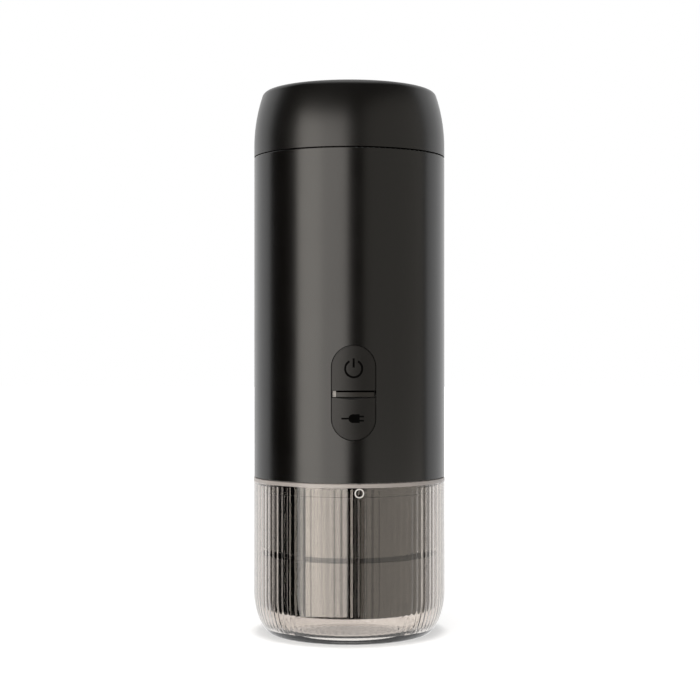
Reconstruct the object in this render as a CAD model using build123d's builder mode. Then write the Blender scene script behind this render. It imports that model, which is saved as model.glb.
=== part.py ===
from build123d import *
import os
from math import acos, asin, atan2, cos, degrees, pi, radians, sin, sqrt, tan

os.makedirs("parts", exist_ok=True)

# Portable electric coffee maker: a round body on a clear cup, with a screw lid on top.
# Millimetres, +Z up, standing on z = 0 with the body's axis on Z and the control panel facing -Y.

# Outer sizes
body_radius = 36.0
body_wall = 2.4
body_height = 120.3
cup_height = 58.6
lid_height = 24.7
seam_gap = 0.3

# Clearances shared by all pieces
slide_gap = 0.3
run_gap = 0.05
fit_gap = 0.1
touch_gap = 0.05
overlap = 0.5

# Angle of the first start of every thread
thread_turn = 25.0

# Levels and radii that follow from the outer sizes
inner_radius = body_radius - body_wall
cup_top = cup_height - seam_gap / 2
body_bottom = cup_height + seam_gap / 2
lid_seam = cup_height + body_height
body_top = lid_seam - seam_gap / 2
lid_bottom = lid_seam + seam_gap / 2
total_height = lid_seam + lid_height


def write(piece, name):
    piece.part.label = name
    export_step(piece.part, "parts/" + name + ".step")


def ring(bottom, top, outer, inner=0, mode=Mode.ADD):
    """A round disc or ring about Z, between two levels."""
    with BuildSketch(Plane.XY.offset(bottom)) as disc:
        Circle(outer)
        if inner > 0:
            Circle(inner, mode=Mode.SUBTRACT)
    extrude(disc.sketch, amount=top - bottom, mode=mode)


def post(x, y, bottom, top, radius, mode=Mode.ADD):
    """An upright round post or hole at a place in plan."""
    with BuildSketch(Plane((x, y, bottom))) as spot:
        Circle(radius)
    extrude(spot.sketch, amount=top - bottom, mode=mode)


def rod(start, end, radius, mode=Mode.ADD):
    """A straight round rod or hole between two points."""
    run = Vector(*end) - Vector(*start)
    with BuildSketch(Plane(start, z_dir=run)) as spot:
        Circle(radius)
    extrude(spot.sketch, amount=run.length, mode=mode)


def block(x_range, y_range, z_range, mode=Mode.ADD):
    """A plain block between two corners."""
    with BuildSketch(Plane((0, 0, z_range[0]))) as plan:
        with Locations(((x_range[0] + x_range[1]) / 2, (y_range[0] + y_range[1]) / 2)):
            Rectangle(x_range[1] - x_range[0], y_range[1] - y_range[0])
    extrude(plan.sketch, amount=z_range[1] - z_range[0], mode=mode)


def thread_ridge(lead, bottom, rise, phase_level, wall, crest, root_width, crest_width):
    """One start of a thread. It lies on the helix that crosses phase_level at thread_turn."""
    sink = overlap if crest > wall else -overlap
    with BuildPart() as ridge:
        with BuildLine():
            Helix(pitch=lead, height=rise, radius=wall)
        with BuildSketch(Plane.XZ):
            with BuildLine():
                Polyline(
                    (wall - sink, -root_width / 2),
                    (wall, -root_width / 2),
                    (crest, -crest_width / 2),
                    (crest, crest_width / 2),
                    (wall, root_width / 2),
                    (wall - sink, root_width / 2),
                    close=True,
                )
            make_face()
        sweep(is_frenet=True)
    turn = thread_turn + 360 * (bottom - phase_level) / lead
    return Pos(0, 0, bottom) * ridge.part.rotate(Axis.Z, turn)


def add_starts(ridge, starts, mode=Mode.ADD):
    """The same ridge or groove at every start of a thread."""
    for start in range(starts):
        add(ridge.rotate(Axis.Z, 360 * start / starts), mode=mode)


def with_starts(body, ridge, starts):
    """The body joined with the same ridge at every start of a thread."""
    for start in range(starts):
        body = body + ridge.rotate(Axis.Z, 360 * start / starts)
    return body


# Lid, its thread and the neck that it screws on
lid_wall = 2.0
lid_straight = 4.0
lid_curve = 60.0
lid_edge = 2.5
neck_margin = 3.8
neck_wall = 1.8
neck_rise = 10.8
thread_starts = 3
lid_lead = 9.0
thread_height = 1.1
thread_root = 1.4
thread_crest = 0.8
liner_wall = 1.4
liner_roof = 1.6
lid_seal_height = 1.6

neck_top = lid_bottom + neck_rise
neck_radius = body_radius - lid_wall - neck_margin - liner_wall - thread_height - slide_gap
neck_bore = neck_radius - neck_wall
liner_bore = neck_radius + thread_height + slide_gap
seal_bottom = neck_top + touch_gap
liner_ceiling = seal_bottom + lid_seal_height + touch_gap
liner_lift = 0.6
liner_flange = 1.8
thread_lift = 3.2
liner_bottom = lid_bottom + liner_lift
thread_level = lid_bottom + thread_lift
neck_thread_rise = 6.4
liner_thread_rise = 6.0
lid_pitch = lid_lead / thread_starts


def lid_outline(inset, bottom):
    """Half section of the lid, shrunk by an inset, from a level up to the top."""
    top = total_height - inset
    shoulder = lid_bottom + lid_straight
    curve = lid_curve - inset
    middle = body_radius - lid_curve
    with BuildSketch(Plane.XZ) as section:
        with BuildLine():
            side_low = (body_radius - inset, bottom)
            side_high = (body_radius - inset, shoulder)
            rim_reach = middle + sqrt(curve**2 - (top - shoulder) ** 2)
            half_way = (top - shoulder) / 2
            half_reach = middle + sqrt(curve**2 - half_way**2)
            Polyline((0, top), (0, bottom), side_low, side_high)
            ThreePointArc(side_high, (half_reach, shoulder + half_way), (rim_reach, top))
            Line((rim_reach, top), (0, top))
        make_face()
    return section.sketch


with BuildPart() as lid_shell:
    revolve(lid_outline(0, lid_bottom), axis=Axis.Z)
    fillet(lid_shell.edges().group_by(Axis.Z)[-1], lid_edge)
    revolve(lid_outline(lid_wall, lid_bottom - 1), axis=Axis.Z, mode=Mode.SUBTRACT)
write(lid_shell, "lid_shell")

vent_radius = 3.0
vent_stem = 1.3
vent_disc = 1.4
vent_head = 1.0
vent_lip = 0.6
vent_way = 0.5
vent_depth = 0.6
liner_ridge = thread_ridge(
    lid_lead, thread_level - lid_pitch / 2, liner_thread_rise, thread_level + lid_pitch / 2,
    liner_bore, liner_bore - thread_height, thread_root, thread_crest,
)
with BuildPart() as lid_liner:
    ring(liner_bottom, liner_ceiling + liner_roof, liner_bore + liner_wall)
    ring(liner_bottom, liner_bottom + liner_flange, body_radius - lid_wall - touch_gap)
    ring(liner_bottom, liner_ceiling, liner_bore, mode=Mode.SUBTRACT)
    ring(liner_ceiling, liner_ceiling + liner_roof, vent_stem + touch_gap, mode=Mode.SUBTRACT)
    add_starts(liner_ridge, thread_starts)
write(lid_liner, "lid_liner")

with BuildPart() as lid_vent:
    ring(liner_ceiling - vent_disc, liner_ceiling, vent_radius)
    ring(liner_ceiling, liner_ceiling + liner_roof + vent_head, vent_stem)
    ring(liner_ceiling + liner_roof, liner_ceiling + liner_roof + vent_head, vent_stem + vent_lip)
    ring(liner_ceiling - vent_disc, liner_ceiling + vent_depth, vent_way, mode=Mode.SUBTRACT)
write(lid_vent, "lid_vent")

seal_overhang = 1.0
with BuildPart() as lid_seal:
    ring(seal_bottom, seal_bottom + lid_seal_height, liner_bore - slide_gap, neck_bore - seal_overhang)
write(lid_seal, "lid_seal")

# Water tank: a steel cup under a threaded neck ring that hangs from the body's shoulder
shoulder_height = 2.6
ledge_width = 1.2
gasket_height = 1.0
neck_flange = 2.0
tank_margin = 1.2
tank_wall = 0.8
tank_seal_height = 0.9
ring_skirt = 5.0
ring_skirt_wall = 1.8
gasket_margin = 1.0
tank_seal_width = 2.4

shoulder_bottom = body_top - shoulder_height
ring_top = shoulder_bottom - gasket_height
ring_bottom = ring_top - neck_flange
tank_top = ring_bottom - tank_seal_height
core_radius = inner_radius - ledge_width - slide_gap
tank_radius = core_radius - tank_margin - ring_skirt_wall - fit_gap

neck_ridge = thread_ridge(
    lid_lead, thread_level, neck_thread_rise, thread_level,
    neck_radius, neck_radius + thread_height, thread_root, thread_crest,
)
with BuildPart() as neck_tube:
    ring(ring_bottom, ring_top, core_radius)
    ring(ring_bottom - ring_skirt, ring_bottom, core_radius - tank_margin, tank_radius + fit_gap)
    ring(ring_top, neck_top, neck_radius)
    ring(ring_bottom, neck_top, neck_bore, mode=Mode.SUBTRACT)
with BuildPart() as neck_ring:
    add(with_starts(neck_tube.part, neck_ridge, thread_starts))
write(neck_ring, "neck_ring")

with BuildPart() as neck_gasket:
    ring(ring_top, shoulder_bottom, core_radius - gasket_margin, neck_radius + thread_height + slide_gap)
write(neck_gasket, "neck_gasket")

with BuildPart() as tank_seal:
    ring(tank_top, ring_bottom, tank_radius, tank_radius - tank_seal_width)
write(tank_seal, "tank_seal")

# Frame: two plates on posts, with the cells and the drive between them
head_flange = 2.2
plate_height = 2.0
cell_radius = 9.2
cell_length = 65.2
cell_gap = 0.2
holder_wall = 0.9
holder_floor = 0.8
holder_height = 6.0
holder_web = 9.0
cell_space = 0.45
cell_margin = 0.4
post_margin = 0.6
side_post_y = -4.0
tank_stand = 4.8
pad_height = 1.2
side_post = 2.5
rear_post = 1.7

flange_top = body_bottom + head_flange
base_top = flange_top + plate_height
cell_bottom = base_top + holder_floor
cell_top = cell_bottom + cell_length
plate_bottom = cell_top + 2 * cell_gap + holder_floor
plate_top = plate_bottom + plate_height
tank_bottom = plate_top + tank_stand
cell_reach = core_radius - cell_radius - cell_gap - cell_margin
cell_spread = 2 * degrees(asin((cell_radius + cell_space / 2) / cell_reach))
cell_angles = [90 - cell_spread, 90, 90 + cell_spread]
cell_places = [(cell_reach * cos(radians(a)), cell_reach * sin(radians(a))) for a in cell_angles]
side_reach = core_radius - side_post - post_margin
rear_reach = core_radius - rear_post - post_margin
rear_angle = 90 - cell_spread / 2
post_places = [
    (side_reach, side_post_y, side_post),
    (-side_reach, side_post_y, side_post),
    (rear_reach * cos(radians(rear_angle)), rear_reach * sin(radians(rear_angle)), rear_post),
    (-rear_reach * cos(radians(rear_angle)), rear_reach * sin(radians(rear_angle)), rear_post),
]

# Drive: a motor across the body turns a crank gear, and a rod works the plunger below it
motor_radius = 12.2
motor_length = 26.0
motor_cap = 4.8
motor_face = 9.0
motor_shift = 3.2
shaft_radius = 1.0
bracket_thick = 2.0
gear_module = 0.6
pinion_teeth = 12
gear_teeth = 30
gear_width = 3.0
gear_space = 3.0
rod_space = 0.4
pinion_width = 4.0
tooth_top = 0.5
tooth_foot = 0.7
backlash = 0.16
pressure_angle = 20
crank_throw = 2.0
rod_length = 13.0
rod_width = 3.0
rod_eye = 3.0
pin_radius = 1.2
pin_root = 0.7
axle_radius = 1.2
crank_level = 34.4
pump_bore = 3.0
pump_radius = 6.5
pump_floor = 1.2
pump_height = 10.2

drive_y = -(motor_radius - motor_shift)
gear_distance = gear_module * (pinion_teeth + gear_teeth) / 2
crank_z = base_top + crank_level
motor_z = crank_z + gear_distance
bracket_front = motor_face + bracket_thick
gear_back = bracket_front + gear_space
gear_front = gear_back + gear_width
rod_back = gear_front + rod_space
rod_front = rod_back + rod_width
pump_x = (rod_back + rod_front) / 2
pump_y = drive_y
pin_z = crank_z - crank_throw
wrist_z = pin_z - rod_length
stroke = 2 * crank_throw
plunger_head = 1.5
head_top = wrist_z - rod_eye - stroke - slide_gap
pump_bottom = base_top
bore_floor = pump_bottom + pump_floor
pump_top = pump_bottom + pump_height
hose_aside = 1.0
hose_behind = 10.0
hose_bore = 1.5
hose_radius = 2.5
inlet_height = 2.6
barb_height = 10.0
hose_x = pump_x + hose_aside
hose_y = pump_y + hose_behind
inlet_level = pump_bottom + inlet_height
barb_top = pump_bottom + barb_height
ear_reach = 9.0
ear_radius = 2.8
ear_height = 2.0
ear_angles = [-90, -25]
ear_places = [
    (pump_x + ear_reach * cos(radians(angle)), pump_y + ear_reach * sin(radians(angle))) for angle in ear_angles
]

# Control panel on the front
panel_width = 16.2
panel_length = 34.35
panel_z = 90.95
panel_gap = 0.3
slot_top = 91.8
slot_bottom = 89.4
face_recess = 0.1
button_thick = 1.8
button_travel = 0.6
button_lip = 0.9
cover_thick = 1.6
hinge_radius = 0.95
strip_recess = 1.1
tray_wall = 2.0
tray_back = 1.2
lip_thick = 1.4
board_thick = 1.2
board_half = 15.2
board_space = 4.1
board_lift = 2.5
board_drop = 6.0
reach_past = 4.0
tray_depth = 13.6
panel_reach = body_radius + reach_past
panel_deep = inner_radius - tray_depth

panel_top = panel_z + panel_length / 2
panel_bottom = panel_z - panel_length / 2
button_front = body_radius - face_recess
lip_front = inner_radius - slide_gap
lip_back = lip_front - lip_thick
tray_front = inner_radius - touch_gap
lip_edge = panel_width / 2 - panel_gap + button_lip
lip_depth = sqrt(lip_back**2 - lip_edge**2)
tray_face = lip_depth - button_travel - slide_gap
tray_rear = tray_face - tray_back
board_face = tray_rear - board_space
board_rear = board_face - board_thick
board_bottom = base_top + board_lift
board_top = plate_bottom - board_drop

screw_radius = 1.25
screw_head = 2.2
screw_head_height = 1.5
screw_hole = screw_radius + 0.15
centre_screw = screw_radius - 0.1
small_screw = screw_radius - 0.25
cross_length = 2.2
cross_width = 0.6
cross_depth = 0.7
leg_side = 1.0
leg_clear = 1.6
leg_screw_x = 4.5
leg_screw_in = 2.8
leg_inner = pump_y - leg_side
leg_outer = board_rear - leg_clear
leg_places = [(leg_screw_x, -leg_outer + leg_screw_in), (leg_screw_x, leg_inner - leg_screw_in)]
base_screw_places = ear_places + leg_places


def screw(x, y, seat, length, radius=screw_radius, head=screw_head, down=True):
    """A pan-head screw whose head rests on a level, with its shank going down or up."""
    way = -1 if down else 1
    post(x, y, min(seat, seat - way * screw_head_height), max(seat, seat - way * screw_head_height), head)
    post(x, y, min(seat, seat + way * length), max(seat, seat + way * length), radius)
    slot_level = seat - way * screw_head_height
    with BuildSketch(Plane((x, y, min(slot_level, slot_level + way * cross_depth)))) as cross:
        Rectangle(cross_length, cross_width)
        Rectangle(cross_width, cross_length)
    extrude(cross.sketch, amount=cross_depth, mode=Mode.SUBTRACT)


# Body tube with the shoulder at the top, an inner ledge at the bottom and the panel opening
seal_wall = 0.9
seal_width = 1.0
seal_groove = 1.1
ledge_height = 1.2
seam_edge = 0.3
neck_gap = 0.5
seal_outer = body_radius - seal_wall
seal_inner = seal_outer - seal_width


def panel_outline(inset):
    """The obround outline of the panel, drawn on the front plane."""
    with BuildSketch(Plane.XZ) as outline:
        with Locations((0, panel_z)):
            SlotOverall(panel_length - 2 * inset, panel_width - 2 * inset, rotation=90)
    return outline.sketch


with BuildPart() as housing_shell:
    ring(body_bottom, body_top, body_radius)
    fillet(housing_shell.edges().group_by(Axis.Z)[-1], seam_edge)
    ring(body_bottom, shoulder_bottom, inner_radius, mode=Mode.SUBTRACT)
    ring(shoulder_bottom, body_top, neck_radius + thread_height + neck_gap, mode=Mode.SUBTRACT)
    ring(flange_top, flange_top + ledge_height, inner_radius + fit_gap, inner_radius - ledge_width)
    ring(body_bottom, body_bottom + seal_groove, seal_outer + fit_gap, seal_inner - fit_gap, mode=Mode.SUBTRACT)
    extrude(panel_outline(0), amount=panel_reach, mode=Mode.SUBTRACT)
write(housing_shell, "housing_shell")

with BuildPart() as cup_seal:
    ring(cup_top + touch_gap, body_bottom + seal_groove - fit_gap, seal_outer, seal_inner)
write(cup_seal, "cup_seal")

# Control panel pieces


def front_part(outline, outer, inner):
    """Inside a part: push a front outline inwards and keep what lies between two radii."""
    extrude(outline, amount=panel_reach)
    ring(panel_bottom - panel_width, panel_top + panel_width, outer, inner, mode=Mode.INTERSECT)


def upper_outline(inset, low):
    """The panel outline above the light slot."""
    with BuildSketch(Plane.XZ) as outline:
        add(panel_outline(inset))
        with Locations((0, low + panel_length / 2)):
            Rectangle(2 * panel_width, panel_length, mode=Mode.INTERSECT)
    return outline.sketch


def lower_outline(inset, high):
    """The panel outline below a level."""
    with BuildSketch(Plane.XZ) as outline:
        add(panel_outline(inset))
        with Locations((0, high - panel_length / 2)):
            Rectangle(2 * panel_width, panel_length, mode=Mode.INTERSECT)
    return outline.sketch


icon_z = 99.6
post_radius = 1.6
stem_radius = 1.5
stem_stop = 1.8
stem_lead = 0.1
post_gap = 0.4
switch_size = 6.0
switch_gap = 0.2
stem_gap = 0.3
stem_back = board_face + stem_stop
stem_front = tray_rear + stem_lead
with BuildPart() as button_lip_plate:
    front_part(upper_outline(panel_gap - button_lip, slot_top + touch_gap), lip_front, lip_back)
with BuildPart() as power_button:
    front_part(upper_outline(panel_gap, slot_top), button_front, lip_front - fit_gap)
    add(button_lip_plate.part)
    rod((0, -lip_back - overlap, icon_z), (0, -stem_front, icon_z), post_radius)
write(power_button, "power_button")

with BuildPart() as switch_stem:
    rod((0, -stem_front, icon_z), (0, -stem_back, icon_z), stem_radius)
write(switch_stem, "switch_stem")

switch_front = stem_front - button_travel - switch_gap
with BuildPart() as tact_switch:
    block((-switch_size / 2, switch_size / 2), (-switch_front, -board_face),
          (icon_z - switch_size / 2, icon_z + switch_size / 2))
    rod((0, -switch_front - 1, icon_z), (0, -(stem_back - button_travel - stem_gap), icon_z),
        stem_radius + fit_gap, mode=Mode.SUBTRACT)
write(tact_switch, "tact_switch")

strip_edge = 0.6
strip_lead = 1.2
strip_half = panel_width / 2 - strip_edge
with BuildPart() as light_window:
    with BuildSketch(Plane.XZ) as strip:
        with Locations((0, (slot_top + slot_bottom) / 2)):
            Rectangle(2 * strip_half, slot_top - slot_bottom - 2 * fit_gap)
    extrude(amount=panel_reach)
    ring(slot_bottom - 1, slot_top + 1, body_radius - strip_recess, 0, mode=Mode.INTERSECT)
    block((-panel_width, panel_width), (-tray_rear + strip_lead, 0), (slot_bottom - 1, slot_top + 1),
          mode=Mode.SUBTRACT)
write(light_window, "light_window")

hinge_gap = 0.15
hinge_z = slot_bottom - hinge_gap - hinge_radius
hinge_y = button_front - hinge_radius
hinge_half = panel_width / 2 - panel_gap
with BuildPart() as usb_cover:
    front_part(lower_outline(panel_gap, hinge_z), button_front, button_front - cover_thick)
    rod((-hinge_half, -hinge_y, hinge_z), (hinge_half, -hinge_y, hinge_z), hinge_radius)
    ring(panel_bottom - panel_width, panel_top + panel_width, button_front, 0, mode=Mode.INTERSECT)
write(usb_cover, "usb_cover")

# Tray behind the panel: a walled obround with a filled lower half that frames the charging socket
socket_z = 81.8
socket_width = 8.94
socket_height = 3.26
socket_lead = 3.6
socket_wall = 0.3
socket_back = 1.5
socket_gap = 0.25
plug_width = 12.6
plug_height = 6.6
tongue_half = 3.35
tongue_thick = 0.7
tongue_short = 0.6
pocket_gap = 0.3
pocket_drop = 0.4
socket_front = tray_rear + socket_lead
pocket_top = hinge_z - hinge_radius - pocket_drop


def socket_outline(width, height):
    """An obround about the charging socket's axis."""
    with BuildSketch(Plane.XZ) as outline:
        with Locations((0, socket_z)):
            SlotOverall(width, height)
    return outline.sketch


with BuildPart() as pocket_block:
    pocket_front = button_front - cover_thick - slide_gap
    front_part(lower_outline(panel_gap + pocket_gap, pocket_top), pocket_front, panel_deep)
    block((-panel_width, panel_width), (-tray_face + overlap, 0), (panel_bottom - panel_width, panel_top),
          mode=Mode.SUBTRACT)
with BuildPart() as panel_tray:
    front_part(panel_outline(-(button_lip + slide_gap + tray_wall)), tray_front, panel_deep)
    block((-panel_reach, panel_reach), (-tray_rear, 0), (panel_bottom - panel_width, panel_top + panel_width),
          mode=Mode.SUBTRACT)
    well = panel_outline(-(button_lip + slide_gap))
    extrude(well.moved(Location((0, -tray_face, 0))), amount=panel_reach, mode=Mode.SUBTRACT)
    add(pocket_block.part)
    extrude(socket_outline(plug_width, plug_height).moved(Location((0, -socket_front - 0.2, 0))),
            amount=panel_reach, mode=Mode.SUBTRACT)
    extrude(socket_outline(socket_width + 2 * socket_gap, socket_height + 2 * socket_gap),
            amount=panel_reach, mode=Mode.SUBTRACT)
    rod((0, -tray_face - 1, icon_z), (0, -tray_rear + 1, icon_z), post_radius + post_gap, mode=Mode.SUBTRACT)
    with BuildSketch(Plane.XZ) as slot_hole:
        with Locations((0, (slot_top + slot_bottom) / 2)):
            Rectangle(2 * (strip_half + fit_gap), slot_top - slot_bottom)
    extrude(slot_hole.sketch, amount=panel_reach, mode=Mode.SUBTRACT)
write(panel_tray, "panel_tray")

with BuildPart() as usb_socket:
    extrude(socket_outline(socket_width, socket_height).moved(Location((0, -board_face, 0))),
            amount=socket_front - board_face)
    extrude(socket_outline(socket_width - 2 * socket_wall, socket_height - 2 * socket_wall)
            .moved(Location((0, -board_face - socket_back, 0))), amount=panel_reach, mode=Mode.SUBTRACT)
    block((-tongue_half, tongue_half), (-socket_front + tongue_short, -board_face),
          (socket_z - tongue_thick / 2, socket_z + tongue_thick / 2))
write(usb_socket, "usb_socket")

# Circuit board and what stands on it
with BuildPart() as main_board:
    block((-board_half, board_half), (-board_face, -board_rear), (board_bottom, board_top))
write(main_board, "main_board")

lamp_count = 5
lamp_pitch = 2.8
lamp_size = 1.6
part_height = 0.9
chip_size = 5.0
coil_radius = 3.1
slot_z = (slot_top + slot_bottom) / 2
coil_x = -8.5
coil_z = 88.0
coil_depth = 5.5
rear_depth = 3.5
chip_drop = 9.65
chip_z = board_top - chip_drop
front_chips = [-7.5, 6.5]
rear_plugs = [(-8.5, 77.5, 7.0), (1.75, 72.5, 5.0)]


def board_block(x, z, size, front):
    """Inside a part: a square component, on the front or the rear of the board."""
    face = (-board_face - part_height, -board_face) if front else (-board_rear, -board_rear + rear_depth)
    block((x - size / 2, x + size / 2), face, (z - size / 2, z + size / 2))


with BuildPart() as board_parts:
    for step in range(lamp_count):
        board_block((step - (lamp_count - 1) / 2) * lamp_pitch, slot_z, lamp_size, front=True)
    for x in front_chips:
        board_block(x, chip_z, chip_size, front=True)
    for x, z, size in rear_plugs:
        board_block(x, z, size, front=False)
    rod((coil_x, -board_rear, coil_z), (coil_x, -board_rear + coil_depth, coil_z), coil_radius)
write(board_parts, "board_parts")

# Tank group
heater_margin = 14.0
heater_hole = 4.0
heater_height = 1.0
heater_radius = tank_radius - heater_margin
outlet_bore = 1.6
outlet_radius = 3.0
outlet_washer = 0.6
outlet_flange = 1.4
outlet_step = 0.4
outlet_drop = 6.0
strainer_radius = 4.4
strainer_wall = 0.6
strainer_height = 1.6
strainer_roof = 0.4
tank_floor = tank_bottom + tank_wall
outlet_low = plate_bottom - outlet_drop
tank_corner = 3.0
with BuildPart() as tank_room:
    ring(tank_floor, tank_top + 1, tank_radius - tank_wall)
    fillet(tank_room.edges().group_by(Axis.Z)[0], tank_corner - tank_wall)
with BuildPart() as water_tank:
    ring(tank_bottom, tank_top, tank_radius)
    fillet(water_tank.edges().group_by(Axis.Z)[0], tank_corner)
    add(tank_room.part, mode=Mode.SUBTRACT)
    post(hose_x, hose_y, tank_bottom, tank_floor, outlet_radius + fit_gap, mode=Mode.SUBTRACT)
write(water_tank, "water_tank")

with BuildPart() as tank_outlet:
    post(hose_x, hose_y, tank_floor, tank_floor + outlet_washer, outlet_radius + outlet_flange)
    post(hose_x, hose_y, plate_top + outlet_step, tank_floor, outlet_radius)
    post(hose_x, hose_y, outlet_low, plate_top + outlet_step, hose_bore)
    post(hose_x, hose_y, outlet_low, tank_floor + outlet_washer, outlet_bore / 2, mode=Mode.SUBTRACT)
write(tank_outlet, "tank_outlet")

with BuildPart() as tank_strainer:
    strainer_seat = tank_floor + outlet_washer
    strainer_top = strainer_seat + strainer_height
    post(hose_x, hose_y, strainer_seat, strainer_top, strainer_radius)
    post(hose_x, hose_y, strainer_seat, strainer_top - strainer_roof, strainer_radius - strainer_wall,
         mode=Mode.SUBTRACT)
    with Locations((hose_x, hose_y, strainer_top)):
        with PolarLocations(2.2, 6):
            Hole(0.5)
write(tank_strainer, "tank_strainer")

with BuildPart() as tank_heater:
    ring(tank_bottom - heater_height, tank_bottom, heater_radius, heater_hole)
write(tank_heater, "tank_heater")

sensor_radius = 2.6
sensor_low = tank_bottom - 2.2
tag_half = 2.5
tag_height = 1.2
with BuildPart() as heater_sensor:
    ring(sensor_low, tank_bottom, sensor_radius)
    block((-tag_half, tag_half), (-tag_height, tag_height), (sensor_low - tag_height, sensor_low))
write(heater_sensor, "heater_sensor")

fuse_radius = 1.6
fuse_half = 6.0
fuse_lead = 9.0
fuse_lead_radius = 0.5
fuse_y = -8.0
fuse_z = tank_bottom - heater_height - fuse_radius
with BuildPart() as thermal_fuse:
    rod((-fuse_half, fuse_y, fuse_z), (fuse_half, fuse_y, fuse_z), fuse_radius)
    rod((-fuse_lead, fuse_y, fuse_z), (fuse_lead, fuse_y, fuse_z), fuse_lead_radius)
write(thermal_fuse, "thermal_fuse")

pad_margin = 3.6
pad_width = 1.5
pad_outer = tank_radius - pad_margin
pad_inner = pad_outer - pad_width
with BuildPart() as tank_pad:
    ring(tank_bottom - pad_height, tank_bottom, pad_outer, pad_inner)
write(tank_pad, "tank_pad")

# Frame plates, posts and screws
screw_depth = 7.0
wire_hole = 6.0
with BuildPart() as frame_top:
    ring(plate_bottom, plate_top, core_radius)
    ring(plate_top, tank_bottom - pad_height, pad_outer, pad_inner)
    post(hose_x, hose_y, plate_bottom, plate_top, outlet_radius + outlet_step, mode=Mode.SUBTRACT)
    post(0, 0, plate_bottom, plate_top, wire_hole, mode=Mode.SUBTRACT)
    for x, y, radius in post_places:
        post(x, y, plate_bottom, plate_top, screw_hole, mode=Mode.SUBTRACT)
write(frame_top, "frame_top")

rail_gap = 0.15
rail_half = 1.8
rail_height = 12.0
rail_depth = 1.5
head_boss = 3.0
boss_cap = 0.5
boss_margin = 12.1
boss_reach = core_radius - boss_margin
boss_split = 6.0
spout_room = 8.5
frame_foot = flange_top - boss_split
boss_angles = [30, 150, 270]
boss_places = [(boss_reach * cos(radians(a)), boss_reach * sin(radians(a))) for a in boss_angles]
with BuildPart() as frame_base:
    ring(flange_top, base_top, core_radius)
    for x, y, radius in post_places:
        post(x, y, base_top, plate_bottom, radius)
        post(x, y, plate_bottom - screw_depth, plate_bottom, screw_radius, mode=Mode.SUBTRACT)
    for x, y in boss_places:
        post(x, y, frame_foot, flange_top, head_boss)
        post(x, y, frame_foot, base_top - boss_cap, screw_radius, mode=Mode.SUBTRACT)
    for side in (-1, 1):
        edge = side * board_half
        block(sorted((edge - side * rail_half, edge + side * rail_half)),
              (-board_face - rail_depth, -board_rear + rail_depth), (base_top, board_bottom + rail_height))
    block((-board_half - rail_gap, board_half + rail_gap),
          (-board_face - rail_gap, -board_rear + rail_gap), (board_bottom, board_top), mode=Mode.SUBTRACT)
    ring(flange_top, base_top, spout_room, mode=Mode.SUBTRACT)
    for x, y in base_screw_places:
        post(x, y, flange_top, base_top, screw_radius, mode=Mode.SUBTRACT)
write(frame_base, "frame_base")

with BuildPart() as frame_screws:
    for x, y, radius in post_places:
        screw(x, y, plate_top, plate_height + screw_depth - 1)
write(frame_screws, "frame_screws")

# Cells, their holders and the tabs on top of them
cap_height = 0.6
cap_radius = 4.7
with BuildPart() as battery_cells:
    for x, y in cell_places:
        post(x, y, cell_bottom, cell_top - cap_height, cell_radius)
        post(x, y, cell_top - cap_height, cell_top, cap_radius)
write(battery_cells, "battery_cells")


def tab_strip(bottom, height, width):
    """Inside a part: straps from cell to cell."""
    for (x1, y1), (x2, y2) in zip(cell_places[:2], cell_places[1:]):
        turn = degrees(atan2(y2 - y1, x2 - x1))
        with BuildSketch(Plane(((x1 + x2) / 2, (y1 + y2) / 2, bottom)).rotated((0, 0, turn))) as strap:
            SlotCenterToCenter(sqrt((x2 - x1) ** 2 + (y2 - y1) ** 2), width)
        extrude(strap.sketch, amount=height)


def holder(bottom, top, bore_bottom, bore_top):
    """A cradle round the three cells, bored between two of its levels."""
    for x, y in cell_places:
        post(x, y, bottom, top, cell_radius + cell_gap + holder_wall)
    tab_strip(bottom, top - bottom, holder_web)
    ring(bottom, top, core_radius - fit_gap, 0, mode=Mode.INTERSECT)
    for x, y in cell_places:
        post(x, y, bore_bottom, bore_top, cell_radius + cell_gap, mode=Mode.SUBTRACT)
    for x, y, radius in post_places:
        post(x, y, bottom, top, radius + cell_gap, mode=Mode.SUBTRACT)


with BuildPart() as cell_holder_lower:
    holder(base_top, base_top + holder_height, cell_bottom, base_top + holder_height)

tab_width = 6.0
tab_height = 0.3
with BuildPart() as tab_room:
    tab_low = cell_top - cell_gap
    tab_strip(tab_low, plate_bottom - holder_floor - tab_low, tab_width + 2 * slide_gap)
with BuildPart() as cell_holder_upper:
    holder_low = plate_bottom - holder_height
    holder(holder_low, plate_bottom, holder_low, plate_bottom - holder_floor)
    add(tab_room.part, mode=Mode.SUBTRACT)
with BuildPart() as cell_holders:
    add(cell_holder_lower.part)
    add(cell_holder_upper.part)
write(cell_holders, "cell_holders")

with BuildPart() as cell_tabs:
    tab_strip(cell_top, tab_height, tab_width)
write(cell_tabs, "cell_tabs")

# Motor
can_wall = 1.0
can_edge = 0.8
cap_step = 1.5
front_boss = 3.5
front_boss_length = 1.5
motor_screw_y = 8.0
motor_screw_depth = 4.0
motor_tag_y = 7.0
tag_thick = 0.6
tag_length = 2.8
can_rear = motor_face - motor_length
cap_rear = can_rear - motor_cap


def across(start_x, end_x, y, z, radius, mode=Mode.ADD):
    """A round rod or hole lying along X."""
    rod((start_x, y, z), (end_x, y, z), radius, mode=mode)


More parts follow.
